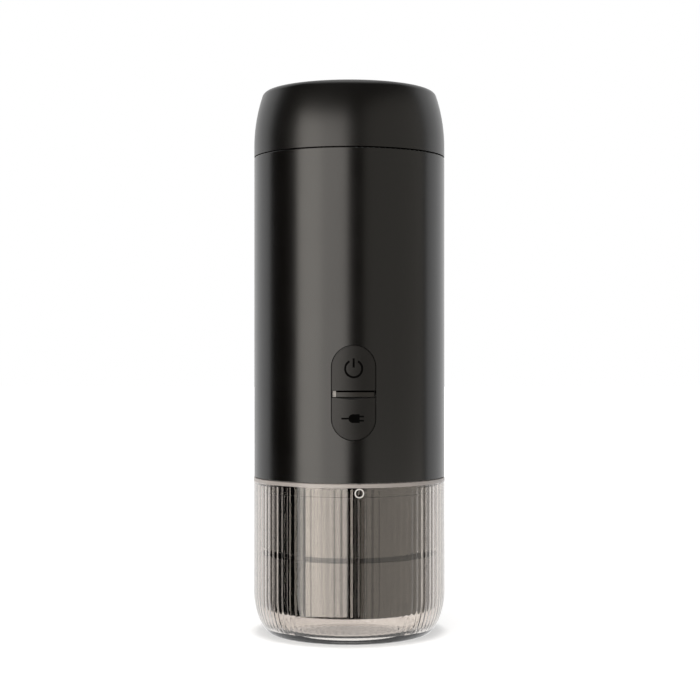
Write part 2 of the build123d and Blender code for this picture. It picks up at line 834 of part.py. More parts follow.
with BuildPart() as motor_can:
    across(can_rear, motor_face, drive_y, motor_z, motor_radius)
    fillet(motor_can.edges().group_by(Axis.X)[-1], can_edge)
    across(can_rear, motor_face - can_wall, drive_y, motor_z, motor_radius - can_wall, mode=Mode.SUBTRACT)
    across(motor_face - can_wall / 2, motor_face + front_boss_length, drive_y, motor_z, front_boss)
    across(can_rear, bracket_front + 1, drive_y, motor_z, shaft_radius + run_gap, mode=Mode.SUBTRACT)
    for side in (-1, 1):
        y = drive_y + side * motor_screw_y
        across(motor_face - motor_screw_depth, motor_face, y, motor_z, small_screw, mode=Mode.SUBTRACT)
write(motor_can, "motor_can")

with BuildPart() as motor_endcap:
    across(cap_rear + cap_step, can_rear, drive_y, motor_z, motor_radius)
    across(cap_rear, cap_rear + 2, drive_y, motor_z, front_boss)
    across(cap_rear + cap_step + can_wall, can_rear, drive_y, motor_z, motor_radius - 2 * can_wall,
           mode=Mode.SUBTRACT)
    across(cap_rear + 0.7, can_rear, drive_y, motor_z, shaft_radius + run_gap, mode=Mode.SUBTRACT)
    for side in (-1, 1):
        tag_y = drive_y + side * motor_tag_y
        block((cap_rear, cap_rear + 2), (tag_y - tag_thick / 2, tag_y + tag_thick / 2),
              (motor_z - tag_length / 2, motor_z + tag_length / 2))
write(motor_endcap, "motor_endcap")

armature_radius = 7.5
armature_rear = can_rear + 4
armature_front = motor_face - 5
brush_radius = 3.0
pole_count = 5
pole_slot = 1.2
with BuildPart() as motor_rotor:
    across(cap_rear + 1.0, gear_back + pinion_width, drive_y, motor_z, shaft_radius)
    across(armature_rear, armature_front, drive_y, motor_z, armature_radius)
    across(can_rear - 0.5, armature_rear, drive_y, motor_z, brush_radius)
    with BuildSketch(Plane((armature_rear, drive_y, motor_z), x_dir=(0, 1, 0), z_dir=(1, 0, 0))) as slots:
        with PolarLocations(armature_radius, pole_count, start_angle=18):
            Rectangle(7.0, pole_slot)
    extrude(slots.sketch, amount=armature_front - armature_rear, mode=Mode.SUBTRACT)
write(motor_rotor, "motor_rotor")


def involute(angle):
    return tan(angle) - angle


def gear_points(teeth):
    """Outline of a spur gear with a tooth at angle 0, each flank an involute in four steps."""
    pitch = gear_module * teeth / 2
    base = pitch * cos(radians(pressure_angle))
    tip = pitch + tooth_top
    foot = pitch - tooth_foot
    half_pitch = pi / (2 * teeth) - backlash / (2 * pitch)
    flank = []
    steps = 4
    for step in range(steps + 1):
        reach = foot + (tip - foot) * step / steps
        lean = involute(acos(base / reach)) if reach > base else 0
        half = half_pitch + involute(radians(pressure_angle)) - lean
        flank.append((reach, half))
    outline = []
    for tooth in range(teeth):
        middle = 2 * pi * tooth / teeth
        for reach, half in flank:
            outline.append((reach * cos(middle - half), reach * sin(middle - half)))
        for reach, half in reversed(flank):
            outline.append((reach * cos(middle + half), reach * sin(middle + half)))
    return outline


def gear_blank(teeth, back, front, y, z):
    with BuildSketch(Plane((back, y, z), x_dir=(0, 1, 0), z_dir=(1, 0, 0))) as face:
        with BuildLine():
            Polyline(*gear_points(teeth), close=True)
        make_face()
    extrude(face.sketch, amount=front - back)


pinion_back = gear_back - 0.3
with BuildPart() as pinion:
    gear_blank(pinion_teeth, pinion_back, pinion_back + pinion_width, drive_y, motor_z)
    across(gear_back - 1, gear_front + 2, drive_y, motor_z, shaft_radius, mode=Mode.SUBTRACT)
write(pinion, "pinion")

gear_web = 1.2
gear_rim = 7.0
gear_hub = 3.6
bush_back = motor_face + 0.2
with BuildPart() as crank_gear:
    gear_blank(gear_teeth, gear_back, gear_front, drive_y, crank_z)
    across(gear_back, gear_front - gear_web, drive_y, crank_z, gear_rim, mode=Mode.SUBTRACT)
    across(gear_back, gear_front - gear_web, drive_y, crank_z, gear_hub)
    across(gear_back - 1, gear_front + 1, drive_y, crank_z, axle_radius, mode=Mode.SUBTRACT)
    across(gear_back - 1, gear_front + 1, drive_y, pin_z, pin_root, mode=Mode.SUBTRACT)
write(crank_gear, "crank_gear")

with BuildPart() as crank_axle:
    across(bush_back, gear_front, drive_y, crank_z, axle_radius)
write(crank_axle, "crank_axle")

with BuildPart() as crank_pin:
    across(gear_front - gear_web, gear_front, drive_y, pin_z, pin_root)
    across(gear_front, rod_front, drive_y, pin_z, pin_radius)
write(crank_pin, "crank_pin")

# The rod turns on the crank pin; its lower eye stands beside the plunger's lug without a pin through both
rod_waist = 3.0
rod_relief = 0.4
with BuildPart() as connecting_rod:
    across(rod_back, rod_front, drive_y, pin_z, rod_eye)
    across(rod_back, rod_front, drive_y, wrist_z, rod_eye)
    block((rod_back + rod_relief, rod_front - rod_relief), (drive_y - rod_waist / 2, drive_y + rod_waist / 2),
          (wrist_z, pin_z))
    across(rod_back, rod_front, drive_y, pin_z, pin_radius + run_gap, mode=Mode.SUBTRACT)
    across(rod_back, rod_front, drive_y, wrist_z, pin_radius, mode=Mode.SUBTRACT)
write(connecting_rod, "connecting_rod")

with BuildPart() as wrist_pin:
    across(rod_back, rod_front, drive_y, wrist_z, pin_radius)
write(wrist_pin, "wrist_pin")

# Plunger and pump
plunger_lift = 1.1
lug_thick = 2.0
lug_half = 2.2
head_radius = 4.0
plunger_low = bore_floor + plunger_lift
lug_back = rod_front + slide_gap
lug_front = lug_back + lug_thick
with BuildPart() as plunger:
    post(pump_x, pump_y, plunger_low, head_top, pump_bore - run_gap)
    post(pump_x, pump_y, head_top - plunger_head, head_top, head_radius)
    block((pump_x, lug_front), (pump_y - lug_half, pump_y + lug_half), (head_top - plunger_head, head_top))
    block((lug_back, lug_front), (pump_y - lug_half, pump_y + lug_half), (head_top - plunger_head, wrist_z))
    across(lug_back, lug_front, pump_y, wrist_z, lug_half)
    across(lug_back, lug_front, pump_y, wrist_z, pin_radius + run_gap, mode=Mode.SUBTRACT)
write(plunger, "plunger")

arm_radius = 2.2
arm_wall = 0.4
ear_web = 0.8
way_radius = 0.8
seal_seat = 1.2
seal_edge = 1.5
outlet_rise = 3.2
barb_length = 3.5
away = sqrt(pump_x**2 + pump_y**2)
toward_x = -pump_x / away
toward_y = -pump_y / away
outlet_level = pump_bottom + outlet_rise
nozzle_reach = pump_radius + barb_length
nozzle_end = (pump_x + toward_x * nozzle_reach, pump_y + toward_y * nozzle_reach)
with BuildPart() as pump_body:
    post(pump_x, pump_y, pump_bottom, pump_top, pump_radius)
    for x, y in ear_places:
        post(x, y, pump_bottom, pump_bottom + ear_height, ear_radius)
        rod((pump_x, pump_y, pump_bottom + ear_height / 2), (x, y, pump_bottom + ear_height / 2), ear_web)
    rod((pump_x, pump_y, inlet_level), (hose_x, hose_y, inlet_level), arm_radius)
    post(hose_x, hose_y, pump_bottom, 2 * inlet_level - pump_bottom, arm_radius + arm_wall)
    post(hose_x, hose_y, inlet_level, barb_top, hose_bore)
    rod((pump_x, pump_y, outlet_level), (nozzle_end[0], nozzle_end[1], outlet_level), hose_bore)
    post(hose_x, hose_y, inlet_level, barb_top, way_radius, mode=Mode.SUBTRACT)
    rod((pump_x, pump_y, inlet_level), (hose_x, hose_y, inlet_level), way_radius, mode=Mode.SUBTRACT)
    rod((pump_x, pump_y, outlet_level), (nozzle_end[0], nozzle_end[1], outlet_level), way_radius,
        mode=Mode.SUBTRACT)
    post(pump_x, pump_y, bore_floor, pump_top, pump_bore, mode=Mode.SUBTRACT)
    post(pump_x, pump_y, pump_top - seal_seat, pump_top, pump_bore + seal_edge, mode=Mode.SUBTRACT)
    for x, y in ear_places:
        post(x, y, pump_bottom, pump_bottom + ear_height, screw_hole, mode=Mode.SUBTRACT)
write(pump_body, "pump_body")

with BuildPart() as plunger_seal:
    with BuildSketch(Plane((pump_x, pump_y, pump_top - seal_seat))):
        Circle(pump_bore + seal_edge)
        Circle(pump_bore, mode=Mode.SUBTRACT)
    extrude(amount=seal_seat)
write(plunger_seal, "plunger_seal")

# Bracket that carries the motor and the crank's bush, on a foot beside the pump
bush_outer = 2.3
bush_wall = 1.4
bush_length = 2.5
foot_back = 1.0
foot_height = 2.0
bracket_low = pump_top + 4
bracket_bend = pump_top + 12
bracket_side = pump_y + 12
bracket_top = motor_z + 10
with BuildPart() as gear_bracket:
    with BuildSketch(Plane((motor_face, 0, 0), x_dir=(0, 1, 0), z_dir=(1, 0, 0))) as side_view:
        with BuildLine():
            Polyline(
                (-leg_outer, base_top),
                (leg_inner, base_top),
                (leg_inner, bracket_low),
                (bracket_side, bracket_bend),
                (bracket_side, bracket_top),
                (-leg_outer, bracket_top),
                close=True,
            )
        make_face()
    extrude(side_view.sketch, amount=bracket_thick)
    block((foot_back, motor_face), (-leg_outer, leg_inner), (base_top, base_top + foot_height))
    across(bracket_front, bracket_front + bush_length, drive_y, crank_z, bush_outer + bush_wall)
    across(motor_face, bracket_front + bush_length, drive_y, crank_z, bush_outer, mode=Mode.SUBTRACT)
    across(motor_face, bracket_front, drive_y, motor_z, front_boss + fit_gap, mode=Mode.SUBTRACT)
    for side in (-1, 1):
        y = drive_y + side * motor_screw_y
        across(motor_face, bracket_front, y, motor_z, screw_hole, mode=Mode.SUBTRACT)
    for x, y in leg_places:
        post(x, y, base_top, base_top + foot_height, screw_hole, mode=Mode.SUBTRACT)
write(gear_bracket, "gear_bracket")

with BuildPart() as axle_bush:
    across(bush_back, bracket_front + bush_length, drive_y, crank_z, bush_outer)
    across(motor_face, bracket_front + bush_length + overlap, drive_y, crank_z, axle_radius + run_gap,
           mode=Mode.SUBTRACT)
write(axle_bush, "axle_bush")

small_head = 2.0
small_head_height = 1.3
small_cross_width = 0.5
small_cross_depth = 0.6
with BuildPart() as motor_screws:
    head_front = bracket_front + small_head_height
    for side in (-1, 1):
        y = drive_y + side * motor_screw_y
        across(bracket_front, head_front, y, motor_z, small_head)
        across(motor_face - 3, bracket_front, y, motor_z, small_screw)
        with BuildSketch(Plane((head_front - small_cross_depth, y, motor_z), x_dir=(0, 1, 0),
                               z_dir=(1, 0, 0))) as cross:
            Rectangle(small_head, small_cross_width)
            Rectangle(small_cross_width, small_head)
        extrude(cross.sketch, amount=small_cross_depth, mode=Mode.SUBTRACT)
write(motor_screws, "motor_screws")

base_screw_length = 3.5
with BuildPart() as base_screws:
    for x, y in base_screw_places:
        screw(x, y, base_top + ear_height, base_screw_length)
write(base_screws, "base_screws")

# Hoses: one straight down from the tank, one from the pump to the elbow on the brew head
elbow_reach = 3.0
elbow_radius = 2.4
elbow_rise = 2.6
hose_end_gap = 0.3
hose_top_gap = 0.5
elbow_top = outlet_level + elbow_rise
elbow_end = (-toward_x * (elbow_reach + barb_length), -toward_y * (elbow_reach + barb_length))
feed_low = 2 * inlet_level - pump_bottom + hose_end_gap
with BuildPart() as feed_hose:
    post(hose_x, hose_y, feed_low, plate_bottom - hose_top_gap, hose_radius)
    post(hose_x, hose_y, feed_low, plate_bottom - hose_top_gap, hose_bore, mode=Mode.SUBTRACT)
write(feed_hose, "feed_hose")

pump_side = (pump_x + toward_x * (pump_radius + 0.4), pump_y + toward_y * (pump_radius + 0.4), outlet_level)
head_side = (-toward_x * (elbow_reach + 0.2), -toward_y * (elbow_reach + 0.2), outlet_level)
with BuildPart() as outlet_hose:
    rod(pump_side, head_side, hose_radius)
    rod(pump_side, head_side, hose_bore, mode=Mode.SUBTRACT)
write(outlet_hose, "outlet_hose")

# Two wires from the motor's tags to the back of the circuit board
wire_radius = 0.7
wire_out = 3.9
wire_lead = 5.5
wire_bend = 1.6
wire_lanes = [-board_half + 1.8, -board_half + 4.2]
wire_levels = [crank_z - 3.4, crank_z - 5.0]


def wire(points, bends):
    """Inside a part: a round wire along straight runs with rounded corners."""
    with BuildLine() as route:
        FilletPolyline(*points, radius=bends)
    with BuildSketch(Plane(route.line @ 0, z_dir=route.line % 0)) as section:
        Circle(wire_radius)
    sweep(section.sketch, path=route.line)


with BuildPart() as wires:
    for side, lane, level in zip((-1, 1), wire_lanes, wire_levels):
        start_y = drive_y + side * motor_tag_y
        wire([
            (cap_rear - touch_gap, start_y, motor_z),
            (cap_rear - wire_out, start_y, motor_z),
            (cap_rear - wire_out, start_y, level),
            (lane, -board_rear + wire_lead, level),
            (lane, -board_rear + touch_gap, level),
        ], wire_bend)
write(wires, "wires")

# Brew head: a skirt under the body, with the chamber's thread inside it and the cup's thread round its collar
skirt_gap = 3.15
skirt_wall = 1.8
skirt_bottom = 32.0
skirt_line = 51.6
line_depth = 0.15
line_height = 0.3
web_bottom = 46.0
web_height = 3.0
collar_bottom = 55.9
cup_step = 0.15
cup_wall = 2.6
groove_depth = 1.5
lug_height = 1.2
cup_lead = 15.0
chamber_lead = 12.0
chamber_tooth = 1.1
chamber_root = 1.6
chamber_crest = 1.0
screen_height = 0.9
screen_margin = 4.6
dome_margin = 3.0
dome_height = 1.0
channel_radius = 0.7
channel_in = 1.4
channel_out = 6.6
centre_boss = 5.0
head_screw_gap = 0.4
head_screw_grip = 2.0
way_angles = [90, 210, 330]
way_rise = 0.6
pilot_depth = 3.5
flange_web = 1.0

cup_radius = body_radius + cup_step
cup_bore = cup_radius - cup_wall
collar_radius = cup_bore - slide_gap
skirt_radius = cup_bore - skirt_gap
skirt_bore = skirt_radius - skirt_wall
screen_radius = skirt_bore - screen_margin
dome_radius = screen_radius - dome_margin
web_top = web_bottom + web_height
socket_floor = web_bottom + 4.0
lug_level = cup_top - 1.15
groove_low = collar_bottom - lug_height
chamber_pitch = chamber_lead / thread_starts
chamber_neck = skirt_bore - chamber_tooth - slide_gap
skirt_thread_level = skirt_bottom + 2.6

cup_groove = thread_ridge(
    cup_lead, groove_low, lug_level - groove_low + 0.4, lug_level,
    collar_radius + 0.6, collar_radius - groove_depth, lug_height + 0.6, lug_height + 0.6,
)
cup_lug = thread_ridge(
    cup_lead, lug_level - 0.25, 0.5, lug_level,
    cup_bore, collar_radius - groove_depth + slide_gap, lug_height, lug_height,
)
skirt_ridge = thread_ridge(
    chamber_lead, skirt_thread_level, 6.0, skirt_thread_level,
    skirt_bore, skirt_bore - chamber_tooth, chamber_root, chamber_crest,
)
chamber_ridge = thread_ridge(
    chamber_lead, skirt_thread_level - chamber_pitch / 2 + 0.6, 6.0, skirt_thread_level - chamber_pitch / 2,
    chamber_neck, chamber_neck + chamber_tooth, chamber_root, chamber_crest,
)

with BuildPart() as head_body:
    ring(body_bottom, flange_top, inner_radius - fit_gap)
    ring(collar_bottom, body_bottom, collar_radius)
    ring(skirt_bottom, collar_bottom, skirt_radius)
    ring(skirt_line, skirt_line + line_height, skirt_radius + 1, skirt_radius - line_depth, mode=Mode.SUBTRACT)
    ring(skirt_bottom, web_bottom, skirt_bore, mode=Mode.SUBTRACT)
    ring(web_bottom, web_bottom + dome_height, dome_radius, mode=Mode.SUBTRACT)
    ring(web_top, flange_top, skirt_bore - flange_web, mode=Mode.SUBTRACT)
    ring(web_bottom, frame_foot, centre_boss)
    for x, y in boss_places:
        post(x, y, web_bottom, frame_foot, head_boss)
    for x, y in boss_places:
        post(x, y, web_bottom, frame_foot, screw_hole, mode=Mode.SUBTRACT)
        post(x, y, web_bottom - 1, web_bottom + screw_head_height + head_screw_gap, screw_head + slide_gap,
             mode=Mode.SUBTRACT)
    ring(socket_floor, frame_foot, elbow_radius, mode=Mode.SUBTRACT)
    for angle in way_angles:
        way_x = cos(radians(angle))
        way_y = sin(radians(angle))
        rod((channel_in * way_x, channel_in * way_y, socket_floor + way_rise),
            (channel_out * way_x, channel_out * way_y, web_bottom + dome_height / 2),
            channel_radius, mode=Mode.SUBTRACT)
    post(0, 0, web_bottom, web_bottom + pilot_depth, centre_screw, mode=Mode.SUBTRACT)
    add_starts(cup_groove, thread_starts, Mode.SUBTRACT)
with BuildPart() as brew_head:
    add(with_starts(head_body.part, skirt_ridge, thread_starts))
write(brew_head, "brew_head")

elbow_way = 0.9
with BuildPart() as head_elbow:
    ring(socket_floor, elbow_top, elbow_radius)
    rod((0, 0, outlet_level), (elbow_end[0], elbow_end[1], outlet_level), hose_bore)
    ring(socket_floor, outlet_level, elbow_way, mode=Mode.SUBTRACT)
    rod((0, 0, outlet_level), (elbow_end[0], elbow_end[1], outlet_level), way_radius, mode=Mode.SUBTRACT)
write(head_elbow, "head_elbow")

with BuildPart() as head_screws:
    head_seat = web_bottom + screw_head_height + head_screw_gap
    for x, y in boss_places:
        screw(x, y, head_seat, frame_foot - web_bottom + head_screw_grip, down=False)
write(head_screws, "head_screws")

screen_hole = 0.6
with BuildPart() as shower_screen:
    ring(web_bottom - screen_height, web_bottom, screen_radius)
    with Locations((0, 0, web_bottom)):
        for row in range(1, 5):
            with PolarLocations(4.8 * row, 8 * row):
                Hole(screen_hole)
        Hole(screw_hole)
write(shower_screen, "shower_screen")

screen_screw_length = 3.8
screen_screw_head = 3.2
with BuildPart() as screen_screw:
    screw(0, 0, web_bottom - screen_height, screen_screw_length, centre_screw, screen_screw_head, down=False)
write(screen_screw, "screen_screw")

brew_gasket_height = 2.5
with BuildPart() as brew_gasket:
    gasket_low = web_bottom - brew_gasket_height
    ring(gasket_low, web_bottom - touch_gap, skirt_bore - slide_gap, screen_radius + slide_gap)
write(brew_gasket, "brew_gasket")

# Brew chamber, the outlet plate on its ledge and the coffee basket that stands in it
chamber_low = 9.4
groove_gap = 2.5
chamber_top = 42.2
plate_level = 13.4
outlet_height = 2.6
plate_ledge = 1.6
spout_low = 10.0
spout_radius = 5.2
spout_bore = 3.2
basket_wall = 0.6
basket_gap = 0.25
basket_low = 18.6
basket_rim = 0.8
basket_corner = 1.8
basket_hole = 0.5
chamber_edge = 0.8
chamber_wall = 1.7
shoulder_z = skirt_bottom - groove_gap
chamber_bore = chamber_neck - chamber_wall
basket_radius = chamber_bore - basket_gap
rim_bottom = chamber_top + touch_gap

with BuildPart() as brew_chamber:
    ring(chamber_low, shoulder_z, skirt_radius)
    fillet(brew_chamber.edges().group_by(Axis.Z)[0], chamber_edge)
    ring(shoulder_z, chamber_top, chamber_neck)
    ring(plate_level, chamber_top, chamber_bore, mode=Mode.SUBTRACT)
    ring(chamber_low, plate_level, chamber_bore - plate_ledge, mode=Mode.SUBTRACT)
    add_starts(chamber_ridge, thread_starts)
write(brew_chamber, "brew_chamber")

with BuildPart() as outlet_plate:
    ring(plate_level + touch_gap, plate_level + outlet_height, chamber_bore - fit_gap)
    ring(spout_low, plate_level + touch_gap, spout_radius)
    ring(spout_low, plate_level + outlet_height, spout_bore, mode=Mode.SUBTRACT)
write(outlet_plate, "outlet_plate")

with BuildPart() as basket_room:
    ring(basket_low + basket_wall, rim_bottom + basket_rim + 1, basket_radius - basket_wall)
    fillet(basket_room.edges().group_by(Axis.Z)[0], basket_corner - basket_wall)
with BuildPart() as filter_basket:
    ring(basket_low, rim_bottom, basket_radius)
    fillet(filter_basket.edges().group_by(Axis.Z)[0], basket_corner)
    ring(rim_bottom, rim_bottom + basket_rim, chamber_neck)
    add(basket_room.part, mode=Mode.SUBTRACT)
    with Locations((0, 0, basket_low + basket_wall)):
        Hole(basket_hole)
        for row in range(1, 6):
            with PolarLocations(3.8 * row, 6 * row):
                Hole(basket_hole)
write(filter_basket, "filter_basket")

# Clear cup with its lugs, the ring that marks the start of its thread and a notch above it
cup_base = 3.2
cup_side = 9.0
cup_rise = 16.7
cup_centre = 15.6
foot_recess = 0.6
foot_width = 12.15
mark_angle = 3.2
mark_z = 55.1
mark_radius = 1.5
mark_stroke = 0.3
notch_width = 1.3
notch_depth = 0.5


def cup_outline(inset, low):
    """Half section of the cup: an elliptical corner under a straight wall."""
    wide = cup_side - inset
    tall = cup_rise - inset
    drop = cup_centre - low
    swing = degrees(asin(drop / tall))
    with BuildSketch(Plane.XZ) as section:
        with BuildLine():
            corner = EllipticalCenterArc(
                (cup_radius - cup_side, cup_centre), wide, tall, start_angle=-swing, arc_size=swing,
            )
            Polyline(corner @ 1, (cup_radius - inset, cup_top), (0, cup_top), (0, low), corner @ 0)
        make_face()
    return section.sketch


with BuildPart() as cup:
    revolve(cup_outline(0, 0), axis=Axis.Z)
    revolve(cup_outline(cup_wall, cup_base), axis=Axis.Z, mode=Mode.SUBTRACT)
    ring(0, foot_recess, cup_radius - foot_width, mode=Mode.SUBTRACT)
    add_starts(cup_lug, thread_starts)
    front = Plane((0, 0, 0), x_dir=(cos(radians(mark_angle)), sin(radians(mark_angle)), 0),
                  z_dir=(sin(radians(mark_angle)), -cos(radians(mark_angle)), 0))
    with BuildSketch(front) as notch:
        with Locations((0, cup_top)):
            Rectangle(notch_width, 2 * notch_depth)
    extrude(notch.sketch, amount=cup_radius + 1, mode=Mode.SUBTRACT)
    with BuildSketch(front.offset(cup_radius - mark_stroke)) as mark:
        with Locations((0, mark_z)):
            Circle(mark_radius + mark_stroke)
            Circle(mark_radius - mark_stroke, mode=Mode.SUBTRACT)
    extrude(mark.sketch, amount=2, mode=Mode.SUBTRACT)
write(cup, "cup")
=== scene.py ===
from math import asin, atan2, cos, hypot, pi, radians, sin

import bmesh
import bpy
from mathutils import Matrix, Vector


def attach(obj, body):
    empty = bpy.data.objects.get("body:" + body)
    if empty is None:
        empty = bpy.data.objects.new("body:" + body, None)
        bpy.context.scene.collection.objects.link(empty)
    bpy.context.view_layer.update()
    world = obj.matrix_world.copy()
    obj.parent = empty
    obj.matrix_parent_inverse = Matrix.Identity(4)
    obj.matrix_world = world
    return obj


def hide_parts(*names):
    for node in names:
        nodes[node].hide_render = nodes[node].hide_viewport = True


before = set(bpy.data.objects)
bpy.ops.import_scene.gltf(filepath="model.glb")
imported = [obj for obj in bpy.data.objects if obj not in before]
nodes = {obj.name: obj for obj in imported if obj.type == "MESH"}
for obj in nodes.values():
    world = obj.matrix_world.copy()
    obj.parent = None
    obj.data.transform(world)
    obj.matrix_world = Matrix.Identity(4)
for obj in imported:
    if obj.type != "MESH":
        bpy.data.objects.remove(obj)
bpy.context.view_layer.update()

mm = 0.001
mergeDistance = 0.00001
sharpAngle = 38
print("frame loaded:", len(nodes), "nodes")


# Shared effects, as node groups that put out only heights, shades and masks

def mathNode(tree, operation, first, second):
    # one step of arithmetic; each side is a number or another node's output
    node = tree.nodes.new("ShaderNodeMath")
    node.operation = operation
    for socket, value in zip(node.inputs, (first, second)):
        if isinstance(value, (int, float)):
            socket.default_value = value
        else:
            tree.links.new(value, socket)
    return node.outputs[0]


def newGroup(name, inputs, outputs):
    group = bpy.data.node_groups.new(name, "ShaderNodeTree")
    for label, value in inputs.items():
        socket = group.interface.new_socket(name=label, in_out="INPUT", socket_type="NodeSocketFloat")
        socket.default_value = value
    for label in outputs:
        group.interface.new_socket(name=label, in_out="OUTPUT", socket_type="NodeSocketFloat")
    entry = group.nodes.new("NodeGroupInput")
    leave = group.nodes.new("NodeGroupOutput")
    return group, entry, leave


def grainGroup():
    # fine moulded or painted grain, with a slow drift of shade over the piece
    group, entry, leave = newGroup("fineGrain", {"Scale": 1500.0, "Drift": 60.0}, ["Height", "Shade"])
    place = group.nodes.new("ShaderNodeTexCoord")
    grain = group.nodes.new("ShaderNodeTexNoise")
    grain.inputs["Detail"].default_value = 3.0
    drift = group.nodes.new("ShaderNodeTexNoise")
    drift.inputs["Detail"].default_value = 2.0
    link = group.links.new
    link(place.outputs["Object"], grain.inputs["Vector"])
    link(place.outputs["Object"], drift.inputs["Vector"])
    link(entry.outputs["Scale"], grain.inputs["Scale"])
    link(entry.outputs["Drift"], drift.inputs["Scale"])
    link(grain.outputs["Fac"], leave.inputs["Height"])
    link(drift.outputs["Fac"], leave.inputs["Shade"])
    return group


def brushGroup():
    # fine level scratches: the noise is drawn out in X and Y and stays dense in Z
    group, entry, leave = newGroup("brushLines", {"Scale": 400.0, "Stretch": 0.03}, ["Height", "Shade"])
    place = group.nodes.new("ShaderNodeTexCoord")
    split = group.nodes.new("ShaderNodeSeparateXYZ")
    join = group.nodes.new("ShaderNodeCombineXYZ")
    lines = group.nodes.new("ShaderNodeTexNoise")
    lines.inputs["Detail"].default_value = 4.0
    link = group.links.new
    link(place.outputs["Object"], split.inputs["Vector"])
    for axis in ("X", "Y"):
        drawn = mathNode(group, "MULTIPLY", split.outputs[axis], entry.outputs["Stretch"])
        link(drawn, join.inputs[axis])
    link(split.outputs["Z"], join.inputs["Z"])
    link(join.outputs["Vector"], lines.inputs["Vector"])
    link(entry.outputs["Scale"], lines.inputs["Scale"])
    link(lines.outputs["Fac"], leave.inputs["Height"])
    link(lines.outputs["Fac"], leave.inputs["Shade"])
    return group


speckContrast = 8.0


def speckGroup():
    # sparse small specks, as a mask that is 0 almost everywhere
    group, entry, leave = newGroup("specks", {"Scale": 300.0, "Edge": 0.7}, ["Mask"])
    place = group.nodes.new("ShaderNodeTexCoord")
    spots = group.nodes.new("ShaderNodeTexNoise")
    spots.inputs["Detail"].default_value = 1.0
    link = group.links.new
    link(place.outputs["Object"], spots.inputs["Vector"])
    link(entry.outputs["Scale"], spots.inputs["Scale"])
    above = mathNode(group, "SUBTRACT", spots.outputs["Fac"], entry.outputs["Edge"])
    strong = mathNode(group, "MULTIPLY", above, speckContrast)
    strong.node.use_clamp = True
    link(strong, leave.inputs["Mask"])
    return group


groups = {"grain": grainGroup(), "brush": brushGroup(), "specks": speckGroup()}
print("shared effects made")


# Materials

def newMaterial(name, settings):
    material = bpy.data.materials.new(name)
    material.use_nodes = True
    shader = material.node_tree.nodes["Principled BSDF"]
    for label, value in settings.items():
        shader.inputs[label].default_value = value
    return material, material.node_tree, shader


def useGroup(tree, name, values):
    node = tree.nodes.new("ShaderNodeGroup")
    node.node_tree = groups[name]
    for label, value in values.items():
        node.inputs[label].default_value = value
    return node


def shadeBetween(tree, mask, low, high, socket):
    mix = tree.nodes.new("ShaderNodeMix")
    mix.data_type = "RGBA"
    mix.inputs["A"].default_value = (*low, 1)
    mix.inputs["B"].default_value = (*high, 1)
    tree.links.new(mask, mix.inputs["Factor"])
    tree.links.new(mix.outputs["Result"], socket)


noiseSpan = (0.3, 0.7)  # where most of a noise texture's values lie
grainDepth = 0.02
brushDepth = 0.01
slowDrift = 60.0


def rangeBetween(tree, mask, low, high, socket):
    spread = tree.nodes.new("ShaderNodeMapRange")
    spread.inputs["From Min"].default_value, spread.inputs["From Max"].default_value = noiseSpan
    spread.inputs["To Min"].default_value = low
    spread.inputs["To Max"].default_value = high
    tree.links.new(mask, spread.inputs["Value"])
    tree.links.new(spread.outputs["Result"], socket)


def bumpFrom(tree, height, shader, strength, depth):
    bump = tree.nodes.new("ShaderNodeBump")
    bump.inputs["Strength"].default_value = strength
    bump.inputs["Distance"].default_value = depth * mm
    tree.links.new(height, bump.inputs["Height"])
    tree.links.new(bump.outputs["Normal"], shader.inputs["Normal"])


def moulded(name, look):
    # a plastic, rubber or coated surface with grain, slow shade drift and uneven gloss
    material, tree, shader = newMaterial(name, look.get("shader", {}))
    grain = useGroup(tree, "grain", {"Scale": look["scale"], "Drift": look.get("drift", slowDrift)})
    shadeBetween(tree, grain.outputs["Shade"], look["dark"], look["light"], shader.inputs["Base Color"])
    rangeBetween(tree, grain.outputs["Shade"], *look["rough"], shader.inputs["Roughness"])
    bumpFrom(tree, grain.outputs["Height"], shader, look["bump"], grainDepth)
    return material


def brushed(name, look):
    # drawn or turned metal
    material, tree, shader = newMaterial(name, {"Metallic": 1.0})
    lines = useGroup(tree, "brush", {"Scale": look["scale"], "Stretch": look["stretch"]})
    shadeBetween(tree, lines.outputs["Shade"], look["dark"], look["light"], shader.inputs["Base Color"])
    rangeBetween(tree, lines.outputs["Shade"], *look["rough"], shader.inputs["Roughness"])
    bumpFrom(tree, lines.outputs["Height"], shader, look["bump"], brushDepth)
    return material


